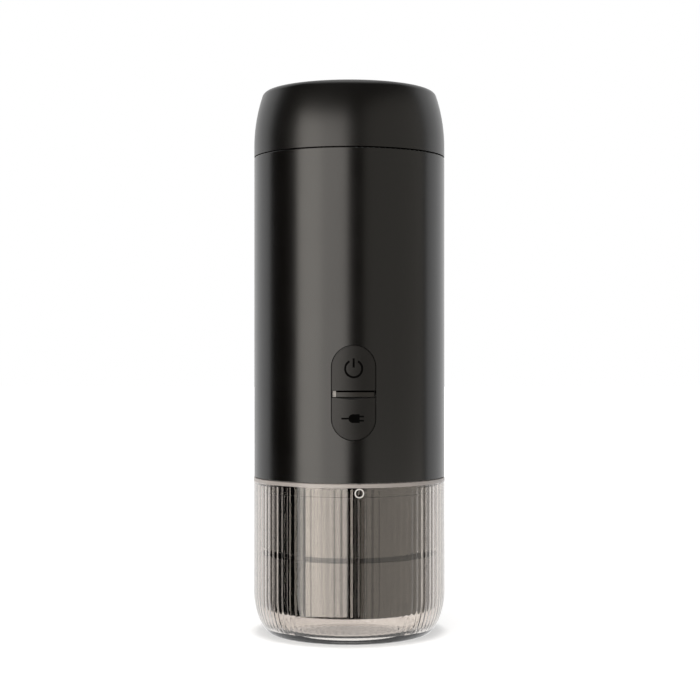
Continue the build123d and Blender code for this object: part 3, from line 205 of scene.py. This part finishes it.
plasticLooks = {
    "housingSatin": dict(
        dark=(0.0012, 0.0009, 0.0006), light=(0.0018, 0.0014, 0.0010),
        scale=2200, rough=(0.22, 0.25), bump=0.10,
    ),
    "lidSatin": dict(
        dark=(0.0014, 0.0010, 0.0007), light=(0.0020, 0.0015, 0.0011),
        scale=2200, rough=(0.29, 0.32), bump=0.10,
    ),
    "panelSatin": dict(
        dark=(0.0030, 0.0024, 0.0018), light=(0.0040, 0.0032, 0.0024),
        scale=2400, rough=(0.38, 0.42), bump=0.10, shader={"Specular IOR Level": 0.40},
    ),
    "signBlack": dict(
        dark=(0.0004, 0.0004, 0.0003), light=(0.0008, 0.0007, 0.0006),
        scale=1800, rough=(0.8, 0.9), bump=0.05, shader={"Specular IOR Level": 0.05},
    ),
    # painted highlight: the pale colour of the small ring moulded on the clear cup
    "ringMarkGlint": dict(
        dark=(0.62, 0.60, 0.58), light=(0.72, 0.70, 0.68),
        scale=900, rough=(0.25, 0.32), bump=0.05,
    ),
    "linerGrey": dict(
        dark=(0.020, 0.019, 0.018), light=(0.027, 0.026, 0.025),
        scale=1500, rough=(0.35, 0.42), bump=0.15,
    ),
    "frameGrey": dict(
        dark=(0.10, 0.10, 0.098), light=(0.13, 0.13, 0.127),
        scale=1200, rough=(0.45, 0.55), bump=0.2,
    ),
    "pumpWhite": dict(
        dark=(0.56, 0.56, 0.53), light=(0.64, 0.64, 0.61),
        scale=1200, rough=(0.38, 0.46), bump=0.15,
    ),
    "sealRubber": dict(
        dark=(0.22, 0.215, 0.21), light=(0.28, 0.275, 0.27),
        scale=1400, rough=(0.55, 0.65), bump=0.2,
    ),
    "hoseRubber": dict(
        dark=(0.50, 0.50, 0.47), light=(0.58, 0.58, 0.55),
        scale=900, rough=(0.35, 0.45), bump=0.1,
    ),
    "boardGreen": dict(
        dark=(0.010, 0.075, 0.028), light=(0.016, 0.11, 0.042),
        scale=500, rough=(0.25, 0.35), bump=0.2, drift=400,
    ),
    "chipBlack": dict(
        dark=(0.012, 0.012, 0.012), light=(0.02, 0.02, 0.02),
        scale=1600, rough=(0.5, 0.6), bump=0.2,
    ),
    "cellWrap": dict(
        dark=(0.02, 0.11, 0.26), light=(0.03, 0.14, 0.31),
        scale=300, rough=(0.22, 0.30), bump=0.05,
    ),
    "heaterFilm": dict(
        dark=(0.30, 0.13, 0.03), light=(0.40, 0.18, 0.05),
        scale=700, rough=(0.25, 0.35), bump=0.1,
    ),
    "wireRed": dict(
        dark=(0.30, 0.012, 0.010), light=(0.40, 0.02, 0.016),
        scale=900, rough=(0.4, 0.5), bump=0.05,
    ),
}
metalLooks = {
    "steelSatin": dict(
        dark=(0.50, 0.49, 0.48), light=(0.64, 0.63, 0.62),
        scale=900, stretch=0.04, rough=(0.22, 0.34), bump=0.08,
    ),
    "screwZinc": dict(
        dark=(0.42, 0.42, 0.41), light=(0.56, 0.56, 0.55),
        scale=1500, stretch=0.3, rough=(0.28, 0.4), bump=0.1,
    ),
    "brassTurned": dict(
        dark=(0.62, 0.42, 0.16), light=(0.78, 0.56, 0.25),
        scale=1800, stretch=0.1, rough=(0.2, 0.32), bump=0.08,
    ),
    "nickelStrip": dict(
        dark=(0.55, 0.52, 0.46), light=(0.66, 0.63, 0.57),
        scale=1200, stretch=0.2, rough=(0.25, 0.4), bump=0.1,
    ),
}
materials = {name: moulded(name, look) for name, look in plasticLooks.items()}
materials.update({name: brushed(name, look) for name, look in metalLooks.items()})

brewLook = {
    "dark": (0.0016, 0.0013, 0.0011), "light": (0.0024, 0.0020, 0.0017),
    "rough": 0.05, "mattAndShade": 0.75, "lineMatt": 0.35, "shine": 1.0, "scale": 250.0, "bump": 0.003,
    # the groove's lower band is kept black and unreflective as painted shadow
    "grooveLow": 29.4, "grooveHigh": 30.9, "lineHeight": 53.2, "lineWidth": 0.3, "seamPlace": -3.9,
}


def bandMask(tree, value, middle, width):
    # 1 within a band of that width round the middle, in millimetres
    away = mathNode(tree, "ABSOLUTE", mathNode(tree, "SUBTRACT", value, middle * mm), 0.0)
    return mathNode(tree, "LESS_THAN", away, width * mm / 2)


def objectPlaces(tree):
    place = tree.nodes.new("ShaderNodeTexCoord")
    split = tree.nodes.new("ShaderNodeSeparateXYZ")
    tree.links.new(place.outputs["Object"], split.inputs["Vector"])
    return split.outputs["X"], split.outputs["Y"], split.outputs["Z"]


def brewPlastic():
    # polished black plastic, with a painted shadow in the lower part of its groove, where reflection is taken
    # away, and matt along its fine moulded lines
    material, tree, shader = newMaterial("brewGloss", {})
    grain = useGroup(tree, "grain", {"Scale": brewLook["scale"], "Drift": slowDrift})
    colour = shader.inputs["Base Color"]
    shadeBetween(tree, grain.outputs["Shade"], brewLook["dark"], brewLook["light"], colour)
    x, y, z = objectPlaces(tree)
    middle = (brewLook["grooveLow"] + brewLook["grooveHigh"]) / 2
    # painted shadow in the groove's lower band
    grooveShade = bandMask(tree, z, middle, brewLook["grooveHigh"] - brewLook["grooveLow"])
    line = bandMask(tree, z, brewLook["lineHeight"], brewLook["lineWidth"])
    above = mathNode(tree, "GREATER_THAN", z, brewLook["grooveHigh"] * mm)
    front = mathNode(tree, "LESS_THAN", y, 0.0)
    seam = bandMask(tree, x, brewLook["seamPlace"], brewLook["lineWidth"])
    seam = mathNode(tree, "MULTIPLY", mathNode(tree, "MULTIPLY", seam, above), front)
    lines = mathNode(tree, "MULTIPLY", mathNode(tree, "MAXIMUM", line, seam), brewLook["lineMatt"])
    mattAndShade = mathNode(tree, "MAXIMUM", grooveShade, lines)
    rough = mathNode(tree, "MULTIPLY", mattAndShade, brewLook["mattAndShade"])
    tree.links.new(mathNode(tree, "ADD", rough, brewLook["rough"]), shader.inputs["Roughness"])
    # the groove's painted shadow loses all reflection; the moulded lines lose some
    shineShare = mathNode(tree, "SUBTRACT", 1.0, mattAndShade)
    tree.links.new(mathNode(tree, "MULTIPLY", shineShare, brewLook["shine"]), shader.inputs["Specular IOR Level"])
    bumpFrom(tree, grain.outputs["Height"], shader, brewLook["bump"], grainDepth)
    return material


windowLook = {
    "dark": (0.012, 0.010, 0.008), "light": (0.015, 0.013, 0.010),
    "rough": 0.36, "shine": 0.4, "scale": 300.0, "bump": 0.02,
    # the pale tone and its edge: a painted glint at the window's left end, standing in for the lamp's
    # reflection there
    "lens": (0.30, 0.285, 0.27), "glintEdge": -6.3,
    # the shade band: a painted shadow, near black and without reflection, along the window's top under the
    # button's edge
    "shade": (0.0006, 0.0005, 0.0004), "shadeLow": 91.15, "shadeHigh": 92.0,
}


def windowPlastic():
    # the light window, with a painted glint at its left end, where its base colour turns pale, and a painted
    # shadow along its top
    material, tree, shader = newMaterial("windowGloss", {"Roughness": windowLook["rough"]})
    layers = []
    grain = useGroup(tree, "grain", {"Scale": windowLook["scale"], "Drift": slowDrift})
    x, _, z = objectPlaces(tree)
    middle = (windowLook["shadeLow"] + windowLook["shadeHigh"]) / 2
    # painted shadow band along the window's top
    shade = bandMask(tree, z, middle, windowLook["shadeHigh"] - windowLook["shadeLow"])
    # painted glint: the window's left end is made pale where the lamp's reflection falls
    lens = mathNode(tree, "LESS_THAN", x, windowLook["glintEdge"] * mm)
    for mask, tone in ((shade, windowLook["shade"]), (lens, windowLook["lens"])):
        mix = tree.nodes.new("ShaderNodeMix")
        mix.data_type = "RGBA"
        mix.inputs["B"].default_value = (*tone, 1)
        tree.links.new(mask, mix.inputs["Factor"])
        layers.append(mix)
    base = layers[0].inputs["A"]
    shadeBetween(tree, grain.outputs["Shade"], windowLook["dark"], windowLook["light"], base)
    tree.links.new(layers[0].outputs["Result"], layers[1].inputs["A"])
    tree.links.new(layers[1].outputs["Result"], shader.inputs["Base Color"])
    # reflection is taken away in the painted shadow band and kept at the painted glint
    shineShare = mathNode(tree, "MAXIMUM", mathNode(tree, "SUBTRACT", 1.0, shade), lens)
    tree.links.new(mathNode(tree, "MULTIPLY", shineShare, windowLook["shine"]), shader.inputs["Specular IOR Level"])
    bumpFrom(tree, grain.outputs["Height"], shader, windowLook["bump"], grainDepth)
    return material


cupLook = {
    "tint": (0.85, 0.805, 0.765), "tintLow": (0.82, 0.775, 0.735),
    "rough": 0.015, "speckRough": 0.045, "ior": 1.52, "shine": 0.42,
    "scale": 500.0, "drift": 45.0, "bump": 0.003, "speckScale": 260.0, "speckEdge": 0.72,
}


def clearPlastic():
    # smoked clear plastic: faint flow lines in its tint, a few specks in its gloss
    material, tree, shader = newMaterial("cupClear", {
        "Transmission Weight": 1.0, "IOR": cupLook["ior"], "Roughness": cupLook["rough"],
        "Specular IOR Level": cupLook["shine"],
    })
    grain = useGroup(tree, "grain", {"Scale": cupLook["scale"], "Drift": cupLook["drift"]})
    colour = shader.inputs["Base Color"]
    shadeBetween(tree, grain.outputs["Shade"], cupLook["tintLow"], cupLook["tint"], colour)
    specks = useGroup(tree, "specks", {"Scale": cupLook["speckScale"], "Edge": cupLook["speckEdge"]})
    gloss = shader.inputs["Roughness"]
    rangeBetween(tree, specks.outputs["Mask"], cupLook["rough"], cupLook["speckRough"], gloss)
    bumpFrom(tree, grain.outputs["Height"], shader, cupLook["bump"], grainDepth)
    return material


bandLook = {
    # painted light: the rim's pale colour stands in for light carried inside the thick clear rim
    "dark": (0.42, 0.385, 0.365), "light": (0.50, 0.46, 0.44),
    "rough": (0.28, 0.34), "clear": 0.25, "scale": 900.0, "drift": 80.0, "bump": 0.05,
}


def bandPlastic():
    # the cup's rim, coloured pale grey and made only partly clear as painted light, for the light that the
    # thick clear plastic carries round inside it
    material, tree, shader = newMaterial("rimPaintedLight", {
        "Transmission Weight": bandLook["clear"], "IOR": cupLook["ior"],
    })
    grain = useGroup(tree, "grain", {"Scale": bandLook["scale"], "Drift": bandLook["drift"]})
    colour = shader.inputs["Base Color"]
    shadeBetween(tree, grain.outputs["Shade"], bandLook["dark"], bandLook["light"], colour)
    rangeBetween(tree, grain.outputs["Shade"], *bandLook["rough"], shader.inputs["Roughness"])
    bumpFrom(tree, grain.outputs["Height"], shader, bandLook["bump"], grainDepth)
    return material


materials["brewGloss"] = brewPlastic()
materials["windowGloss"] = windowPlastic()
materials["cupClear"] = clearPlastic()
materials["rimPaintedLight"] = bandPlastic()
print("materials made:", len(materials))

nodeFinish = {
    "housingSatin": ["housing_shell"],
    "lidSatin": ["lid_shell"],
    "panelSatin": ["power_button", "usb_cover"],
    "windowGloss": ["light_window"],
    "brewGloss": ["brew_head", "brew_chamber", "outlet_plate"],
    "cupClear": ["cup"],
    "linerGrey": ["lid_liner", "neck_ring"],
    "frameGrey": ["panel_tray", "frame_top", "frame_base", "cell_holders", "gear_bracket", "motor_endcap"],
    "pumpWhite": ["pump_body", "plunger", "head_elbow", "crank_gear", "connecting_rod", "switch_stem"],
    "sealRubber": ["neck_gasket", "tank_seal", "lid_seal", "lid_vent", "cup_seal", "brew_gasket",
                   "plunger_seal", "tank_pad"],
    "hoseRubber": ["feed_hose", "outlet_hose"],
    "steelSatin": ["water_tank", "tank_outlet", "tank_strainer", "shower_screen", "filter_basket",
                   "motor_can", "motor_rotor", "crank_axle", "crank_pin", "wrist_pin", "heater_sensor",
                   "usb_socket"],
    "screwZinc": ["frame_screws", "motor_screws", "base_screws", "head_screws", "screen_screw"],
    "brassTurned": ["axle_bush", "pinion"],
    "boardGreen": ["main_board"],
    "chipBlack": ["board_parts", "tact_switch", "thermal_fuse"],
    "cellWrap": ["battery_cells"],
    "nickelStrip": ["cell_tabs"],
    "heaterFilm": ["tank_heater"],
    "wireRed": ["wires"],
}
for finish, names in nodeFinish.items():
    for name in names:
        mesh = nodes[name].data
        mesh.materials.clear()
        mesh.materials.append(materials[finish])
print("CAD nodes finished:", sum(len(names) for names in nodeFinish.values()))


# New pieces

def makePiece(name, bm, finishes, body, smooth=True):
    mesh = bpy.data.meshes.new(name)
    bm.to_mesh(mesh)
    bm.free()
    for finish in finishes:
        mesh.materials.append(materials[finish])
    if smooth:
        mesh.shade_smooth()
        mesh.set_sharp_from_angle(angle=radians(sharpAngle))
    piece = bpy.data.objects.new(name, mesh)
    bpy.context.scene.collection.objects.link(piece)
    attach(piece, body)
    print("piece made:", name, len(mesh.polygons), "faces")
    return piece


def spinProfile(points, steps):
    # a closed ring of faces about Z from points (radius, height) in millimetres
    bm = bmesh.new()
    verts = [bm.verts.new((radius * mm, 0, height * mm)) for radius, height in points]
    edges = [bm.edges.new(pair) for pair in zip(verts, verts[1:])]
    bmesh.ops.spin(bm, geom=verts + edges, cent=(0, 0, 0), axis=(0, 0, 1), angle=2 * pi, steps=steps,
                   use_merge=True, use_duplicate=False)
    bmesh.ops.remove_doubles(bm, verts=bm.verts, dist=mergeDistance)
    return bm


cup = {
    "radius": 36.15, "wall": 2.6, "top": 58.45, "side": 9.0, "rise": 16.7, "centre": 15.6, "base": 3.2,
    "footInner": 24.0, "footRecess": 0.6, "footRound": 0.3, "innerRound": 0.25, "outerRound": 0.5,
    "outerEdge": (0.1, 0.12), "floorEdge": 1.2, "rimRound": 0.35, "rimShoulder": 0.3,
    "bandLow": 57.0, "bandStep": 0.05, "cornerSteps": 22,
    "flutes": 86, "fluteSteps": 8, "fluteDepth": 0.12, "fluteFade": 2.5,
    "archHeight": 1.0, "archLevels": (0.95, 0.8, 0.6, 0.4, 0.2, 0), "archCurve": 0.35, "archSlope": 2.2,
    "notchWidth": 1.3, "notchDepth": 0.5,
    "markAngle": 3.2, "markHeight": 55.1, "markRadius": 1.5, "markStroke": 0.22, "markLift": 0.04,
    "markGap": 0.005, "near": 0.01,
}


def cornerPoints(inset, low, steps):
    # the cup's elliptical lower corner, from the base up to the straight wall
    wide = cup["side"] - inset
    tall = cup["rise"] - inset
    start = asin((cup["centre"] - low) / tall)
    middle = cup["radius"] - cup["side"]
    turns = [start * (1 - step / steps) for step in range(steps + 1)]
    return [(middle + wide * cos(turn), cup["centre"] - tall * sin(turn)) for turn in turns]


def cupProfile():
    # the cup's half section (radius, height), from the middle of the foot round the rim to the inner floor
    outer = cornerPoints(0, 0, cup["cornerSteps"])
    inner = cornerPoints(cup["wall"], cup["base"], cup["cornerSteps"])
    side = cup["radius"]
    bore = side - cup["wall"]
    top = cup["top"]
    edge = cup["rimRound"]
    shoulder = edge * cup["rimShoulder"]
    foot = cup["footInner"]
    footEnd = outer[0][0]
    edgeIn, edgeUp = cup["outerEdge"]
    archLow = cup["bandLow"] - cup["archHeight"]
    points = [(0, cup["footRecess"]), (foot - cup["footRound"], cup["footRecess"])]
    points += [(foot, cup["innerRound"]), (foot + cup["innerRound"], 0)]
    points += [(footEnd - cup["outerRound"], 0), (footEnd - edgeIn, edgeUp)] + outer[1:]
    points += [(side, archLow), (side, cup["bandLow"]), (side, top - edge)]
    points += [(side - shoulder, top - shoulder), (side - edge, top)]
    points += [(bore + edge, top), (bore, top - edge), (bore, cup["bandLow"] + cup["bandStep"])]
    points += [(bore, archLow + cup["archHeight"] * share) for share in cup["archLevels"]]
    return points + inner[::-1] + [(inner[0][0] - cup["floorEdge"], cup["base"]), (0, cup["base"])]


def fluteHeight(turn, level):
    # how far a flute stands in from the bore: round arches at the top, fading out at the inner floor
    wave = 0.5 + 0.5 * cos(cup["flutes"] * turn)
    rise = min(1.0, max(0.0, (cup["bandLow"] - level) / cup["archHeight"]))
    arch = min(1.0, max(0.0, (rise - wave * cup["archCurve"]) * cup["archSlope"]))
    fade = min(1.0, (level - cup["base"]) / cup["fluteFade"])
    return cup["fluteDepth"] * wave * arch * fade


def buildCup():
    bm = spinProfile(cupProfile(), cup["flutes"] * cup["fluteSteps"])
    bore = cup["radius"] - cup["wall"]
    near = cup["near"]
    for vert in bm.verts:
        x, y, z = (value / mm for value in vert.co)
        radius = hypot(x, y)
        turn = atan2(y, x)
        inside = cup["base"] + near < z < cup["bandLow"] + near and 1 < radius < bore + near
        if inside:
            depth = fluteHeight(turn, z)
            vert.co.x *= (radius - depth) / radius
            vert.co.y *= (radius - depth) / radius
        ahead = turn + pi / 2 - radians(cup["markAngle"])
        if z > cup["top"] - near and abs(ahead) * cup["radius"] < cup["notchWidth"] / 2:
            vert.co.z -= cup["notchDepth"] * mm
    bmesh.ops.recalc_face_normals(bm, faces=bm.faces)
    for face in bm.faces:
        # the faces above the band's foot take the rim's painted light
        if face.calc_center_median().z > cup["bandLow"] * mm:
            face.material_index = 1
    return makePiece("clearCup", bm, ["cupClear", "rimPaintedLight"], "cup")


clearCup = buildCup()
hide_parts("cup")


panelRadius = 35.9


def wrapOnto(bm, radius, angle=0.0):
    # lays a flat piece, drawn on X and Z with its depth on Y, onto a round wall of that radius facing -Y
    for vert in bm.verts:
        reach = radius * mm + vert.co.y
        turn = vert.co.x / (radius * mm) - pi / 2 + angle
        vert.co.x, vert.co.y = reach * cos(turn), reach * sin(turn)


def flatStrip(bm, points, width, height):
    # a flat stroke of that width along points (x, z), given a small depth outwards
    verts = []
    for index, (x, z) in enumerate(points):
        before = Vector(points[max(index - 1, 0)])
        after = Vector(points[min(index + 1, len(points) - 1)])
        along = (after - before).normalized()
        side = Vector((-along.y, along.x)) * width / 2
        pair = [bm.verts.new(((x + way * side.x) * mm, 0, (z + way * side.y) * mm)) for way in (-1, 1)]
        verts.append(pair)
    faces = [bm.faces.new((low[0], high[0], high[1], low[1])) for low, high in zip(verts, verts[1:])]
    lifted = bmesh.ops.extrude_face_region(bm, geom=faces)
    raised = [item for item in lifted["geom"] if isinstance(item, bmesh.types.BMVert)]
    bmesh.ops.translate(bm, verts=raised, vec=(0, height * mm, 0))


def arcPoints(x, z, radius, start, end, steps):
    turns = [radians(start + (end - start) * step / steps) for step in range(steps + 1)]
    return [(x + radius * cos(turn), z + radius * sin(turn)) for turn in turns]


powerSign = {
    "height": 99.6, "ring": 3.05, "ringSteps": 48, "stroke": 0.72, "gap": 30.0,
    "barLow": 100.0, "barHigh": 103.3, "lift": 0.03,
}


def buildPowerSign():
    bm = bmesh.new()
    gap = powerSign["gap"]
    low, high = powerSign["barLow"], powerSign["barHigh"]
    ring = arcPoints(0, powerSign["height"], powerSign["ring"], 90 + gap, 450 - gap, powerSign["ringSteps"])
    bar = [(0, low + share * (high - low)) for share in (0, 0.5, 1)]
    for stroke in (ring, bar):
        flatStrip(bm, stroke, powerSign["stroke"], powerSign["lift"])
    wrapOnto(bm, panelRadius)
    bmesh.ops.recalc_face_normals(bm, faces=bm.faces)
    makePiece("powerSign", bm, ["signBlack"], "button", smooth=False)


buildPowerSign()

plugSign = {
    "height": 81.8, "wide": 8.1, "stroke": 0.6, "body": 2.4, "tall": 3.1, "prong": 1.6, "split": 1.5,
    "shift": -0.35, "cordOverlap": 0.1, "roundSteps": 16, "lift": 0.03,
}


def buildPlugSign():
    # a plain plug lying on its side: a cord, a rounded body and two prongs
    bm = bmesh.new()
    z = plugSign["height"]
    left = plugSign["shift"] - plugSign["wide"] / 2
    right = plugSign["shift"] + plugSign["wide"] / 2
    face = right - plugSign["prong"]
    back = face - plugSign["body"]
    half = plugSign["tall"] / 2
    stroke = plugSign["stroke"]
    lift = plugSign["lift"]
    cord = [(left, z), ((left + back - half) / 2, z), (back - half + plugSign["cordOverlap"], z)]
    flatStrip(bm, cord, stroke, lift)
    for level in (z - plugSign["split"] / 2, z + plugSign["split"] / 2):
        flatStrip(bm, [(face, level), (face + plugSign["prong"] / 2, level), (right, level)], stroke, lift)
    outline = [(face, z - half), (face, z + half)]
    outline += arcPoints(back, z, half, 90, 270, plugSign["roundSteps"])
    verts = [bm.verts.new((x * mm, 0, height * mm)) for x, height in outline]
    plate = bm.faces.new(verts)
    lifted = bmesh.ops.extrude_face_region(bm, geom=[plate])
    raised = [item for item in lifted["geom"] if isinstance(item, bmesh.types.BMVert)]
    bmesh.ops.translate(bm, verts=raised, vec=(0, lift * mm, 0))
    wrapOnto(bm, panelRadius)
    bmesh.ops.recalc_face_normals(bm, faces=bm.faces)
    makePiece("plugSign", bm, ["signBlack"], "cover", smooth=False)


buildPlugSign()


def buildRingMark():
    # the small ring moulded on the cup's wall under its rim, coloured pale as a painted highlight for the
    # light its edges catch
    bm = bmesh.new()
    ring = arcPoints(0, cup["markHeight"], cup["markRadius"], 0, 360, 40)
    flatStrip(bm, ring, 2 * cup["markStroke"], cup["markLift"])
    bmesh.ops.remove_doubles(bm, verts=bm.verts, dist=mergeDistance)
    wrapOnto(bm, cup["radius"] + cup["markGap"], radians(cup["markAngle"]))
    bmesh.ops.recalc_face_normals(bm, faces=bm.faces)
    makePiece("ringMark", bm, ["ringMarkGlint"], "cup", smooth=False)


buildRingMark()

# Studio: a pale floor under the cup, tall soft lamps at the left and right, one above, and dark walls that
# only reflections see

camera = {
    "distance": 585.5, "turn": -2.5, "height": 105.8, "lens": 79.31, "sensor": 36.0, "near": 0.01,
    "shiftX": 0.001, "shiftY": 0.00186,
}


def addCamera():
    data = bpy.data.cameras.new("camera")
    data.lens = camera["lens"]
    data.sensor_width = camera["sensor"]
    data.shift_x = camera["shiftX"]
    data.shift_y = camera["shiftY"]
    data.clip_start = camera["near"]
    thing = bpy.data.objects.new("camera", data)
    bpy.context.scene.collection.objects.link(thing)
    turn = radians(camera["turn"])
    reach = camera["distance"] * mm
    thing.location = (sin(turn) * reach, -cos(turn) * reach, camera["height"] * mm)
    thing.rotation_euler = (pi / 2, 0, turn)
    bpy.context.scene.camera = thing


lamps = {
    "left": dict(
        angle=-48, distance=0.9, centre=0.06,
        wide=0.48, tall=1.0, radiance=4.1, colour=(1.0, 0.95, 0.88),
    ),
    "middle": dict(
        angle=-17.4, distance=0.9, centre=0.06,
        wide=0.51, tall=1.0, radiance=3.15, colour=(1.0, 0.95, 0.89),
    ),
    "right": dict(
        angle=58, distance=0.9, centre=0.385,
        wide=1.56, tall=0.8, radiance=0.62, colour=(1.0, 0.95, 0.86),
    ),
    "rightLow": dict(
        angle=58, distance=0.9, centre=-0.39,
        wide=1.56, tall=0.75, radiance=1.0, colour=(1.0, 0.95, 0.87),
    ),
    "top": dict(
        angle=0, distance=0.0, centre=1.3,
        wide=0.7, tall=0.7, radiance=1.0, colour=(1.0, 0.98, 0.95),
    ),
}


def placeRound(angle, distance, height):
    # a place at an angle to the right of the camera's direction, seen from the object
    turn = radians(camera["turn"] + angle)
    return Vector((sin(turn) * distance, -cos(turn) * distance, height))


def addLamps():
    for name, look in lamps.items():
        data = bpy.data.lights.new(name, "AREA")
        data.shape = "RECTANGLE"
        data.size = look["wide"]
        data.size_y = look["tall"]
        data.color = look["colour"]
        data.energy = look["radiance"] * pi * look["wide"] * look["tall"]
        lamp = bpy.data.objects.new(name, data)
        bpy.context.scene.collection.objects.link(lamp)
        lamp.location = placeRound(look["angle"], look["distance"], look["centre"])
        aim = Vector((0, 0, lamp.location.z if look["distance"] else 0)) - lamp.location
        lamp.rotation_euler = aim.to_track_quat("-Z", "Y").to_euler()


walls = {"reach": 1.6, "from": -108, "to": 104, "low": -1.4, "high": 2.6, "steps": 60, "glow": 0.004}


def addWalls():
    bm = bmesh.new()
    low = bm.verts.new(placeRound(walls["from"], walls["reach"], walls["low"]))
    high = bm.verts.new(placeRound(walls["from"], walls["reach"], walls["high"]))
    edge = bm.edges.new((low, high))
    bmesh.ops.spin(bm, geom=[low, high, edge], cent=(0, 0, 0), axis=(0, 0, 1),
                   angle=radians(walls["to"] - walls["from"]), steps=walls["steps"], use_duplicate=False)
    mesh = bpy.data.meshes.new("studioWalls")
    bm.to_mesh(mesh)
    bm.free()
    material, tree, shader = newMaterial("wallDark", {
        "Base Color": (0.01, 0.01, 0.01, 1), "Roughness": 1.0, "Specular IOR Level": 0.0,
        "Emission Color": (1, 0.97, 0.94, 1), "Emission Strength": walls["glow"],
    })
    mesh.materials.append(material)
    thing = bpy.data.objects.new("studioWalls", mesh)
    bpy.context.scene.collection.objects.link(thing)
    thing.visible_camera = False
    thing.visible_diffuse = False
    thing.visible_shadow = False


def backgroundRays(tree):
    # 1 for rays that should meet the plain white background: straight, in a gloss, or through glass
    path = tree.nodes.new("ShaderNodeLightPath")
    seen = mathNode(tree, "MAXIMUM", path.outputs["Is Camera Ray"], path.outputs["Is Glossy Ray"])
    return mathNode(tree, "MAXIMUM", seen, path.outputs["Is Transmission Ray"])


floor = {
    "half": 4.0, "tone": (0.80, 0.80, 0.80), "rough": 0.9,
    "near": 0.62, "far": 1.0, "reach": 0.45,
    "contactReach": 0.006, "contactTone": 0.72, "contactShut": 0.5, "contactOpen": 0.97, "contactSamples": 8,
}


def contactShade(tree):
    # 1 on the open floor, less in the narrow gap where the foot meets it
    contact = tree.nodes.new("ShaderNodeAmbientOcclusion")
    contact.samples = floor["contactSamples"]
    contact.inputs["Distance"].default_value = floor["contactReach"]
    darken = tree.nodes.new("ShaderNodeMapRange")
    darken.inputs["From Min"].default_value = floor["contactShut"]
    darken.inputs["From Max"].default_value = floor["contactOpen"]
    darken.inputs["To Min"].default_value = floor["contactTone"]
    tree.links.new(contact.outputs["AO"], darken.inputs["Value"])
    return darken.outputs["Result"]


def floorGlow(tree):
    # white for the rays that should meet the background, and less near the object, so its shadow stays
    place = tree.nodes.new("ShaderNodeTexCoord")
    length = tree.nodes.new("ShaderNodeVectorMath")
    length.operation = "LENGTH"
    spread = tree.nodes.new("ShaderNodeMapRange")
    spread.inputs["From Max"].default_value = floor["reach"]
    spread.inputs["To Min"].default_value = floor["near"]
    spread.inputs["To Max"].default_value = floor["far"]
    tree.links.new(place.outputs["Object"], length.inputs[0])
    tree.links.new(length.outputs["Value"], spread.inputs["Value"])
    return mathNode(tree, "MULTIPLY", spread.outputs["Result"], backgroundRays(tree))


def addFloor():
    bm = bmesh.new()
    bmesh.ops.create_grid(bm, x_segments=2, y_segments=2, size=floor["half"])
    mesh = bpy.data.meshes.new("floor")
    bm.to_mesh(mesh)
    bm.free()
    material, tree, shader = newMaterial("floorWhite", {
        "Base Color": (*floor["tone"], 1), "Roughness": floor["rough"], "Specular IOR Level": 0.0,
        "Emission Color": (1, 1, 1, 1),
    })
    link = tree.links.new
    shade = contactShade(tree)
    tone = tree.nodes.new("ShaderNodeVectorMath")
    tone.operation = "SCALE"
    tone.inputs[0].default_value = floor["tone"]
    link(shade, tone.inputs["Scale"])
    link(tone.outputs["Vector"], shader.inputs["Base Color"])
    link(mathNode(tree, "MULTIPLY", floorGlow(tree), shade), shader.inputs["Emission Strength"])
    # from below the floor is clear, so the object's underside can be seen
    geometry = tree.nodes.new("ShaderNodeNewGeometry")
    clear = tree.nodes.new("ShaderNodeBsdfTransparent")
    blend = tree.nodes.new("ShaderNodeMixShader")
    link(geometry.outputs["Backfacing"], blend.inputs["Fac"])
    link(shader.outputs["BSDF"], blend.inputs[1])
    link(clear.outputs["BSDF"], blend.inputs[2])
    link(blend.outputs["Shader"], tree.nodes["Material Output"].inputs["Surface"])
    mesh.materials.append(material)
    thing = bpy.data.objects.new("floor", mesh)
    bpy.context.scene.collection.objects.link(thing)
    thing.visible_glossy = False
    thing.visible_transmission = False
    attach(thing, "cup")  # the cup stays on the floor and the rest rises off it


room = {"seen": 1.0, "soft": 0.35}


def addRoom():
    world = bpy.data.worlds.new("room")
    bpy.context.scene.world = world
    world.use_nodes = True
    tree = world.node_tree
    back = tree.nodes["Background"]
    back.inputs["Color"].default_value = (1, 1, 1, 1)
    spread = tree.nodes.new("ShaderNodeMapRange")
    spread.inputs["To Min"].default_value = room["soft"]
    spread.inputs["To Max"].default_value = room["seen"]
    tree.links.new(backgroundRays(tree), spread.inputs["Value"])
    tree.links.new(spread.outputs["Result"], back.inputs["Strength"])


addCamera()
addLamps()
addWalls()
addFloor()
addRoom()
bpy.context.scene.view_settings.view_transform = "Standard"
print("studio made")
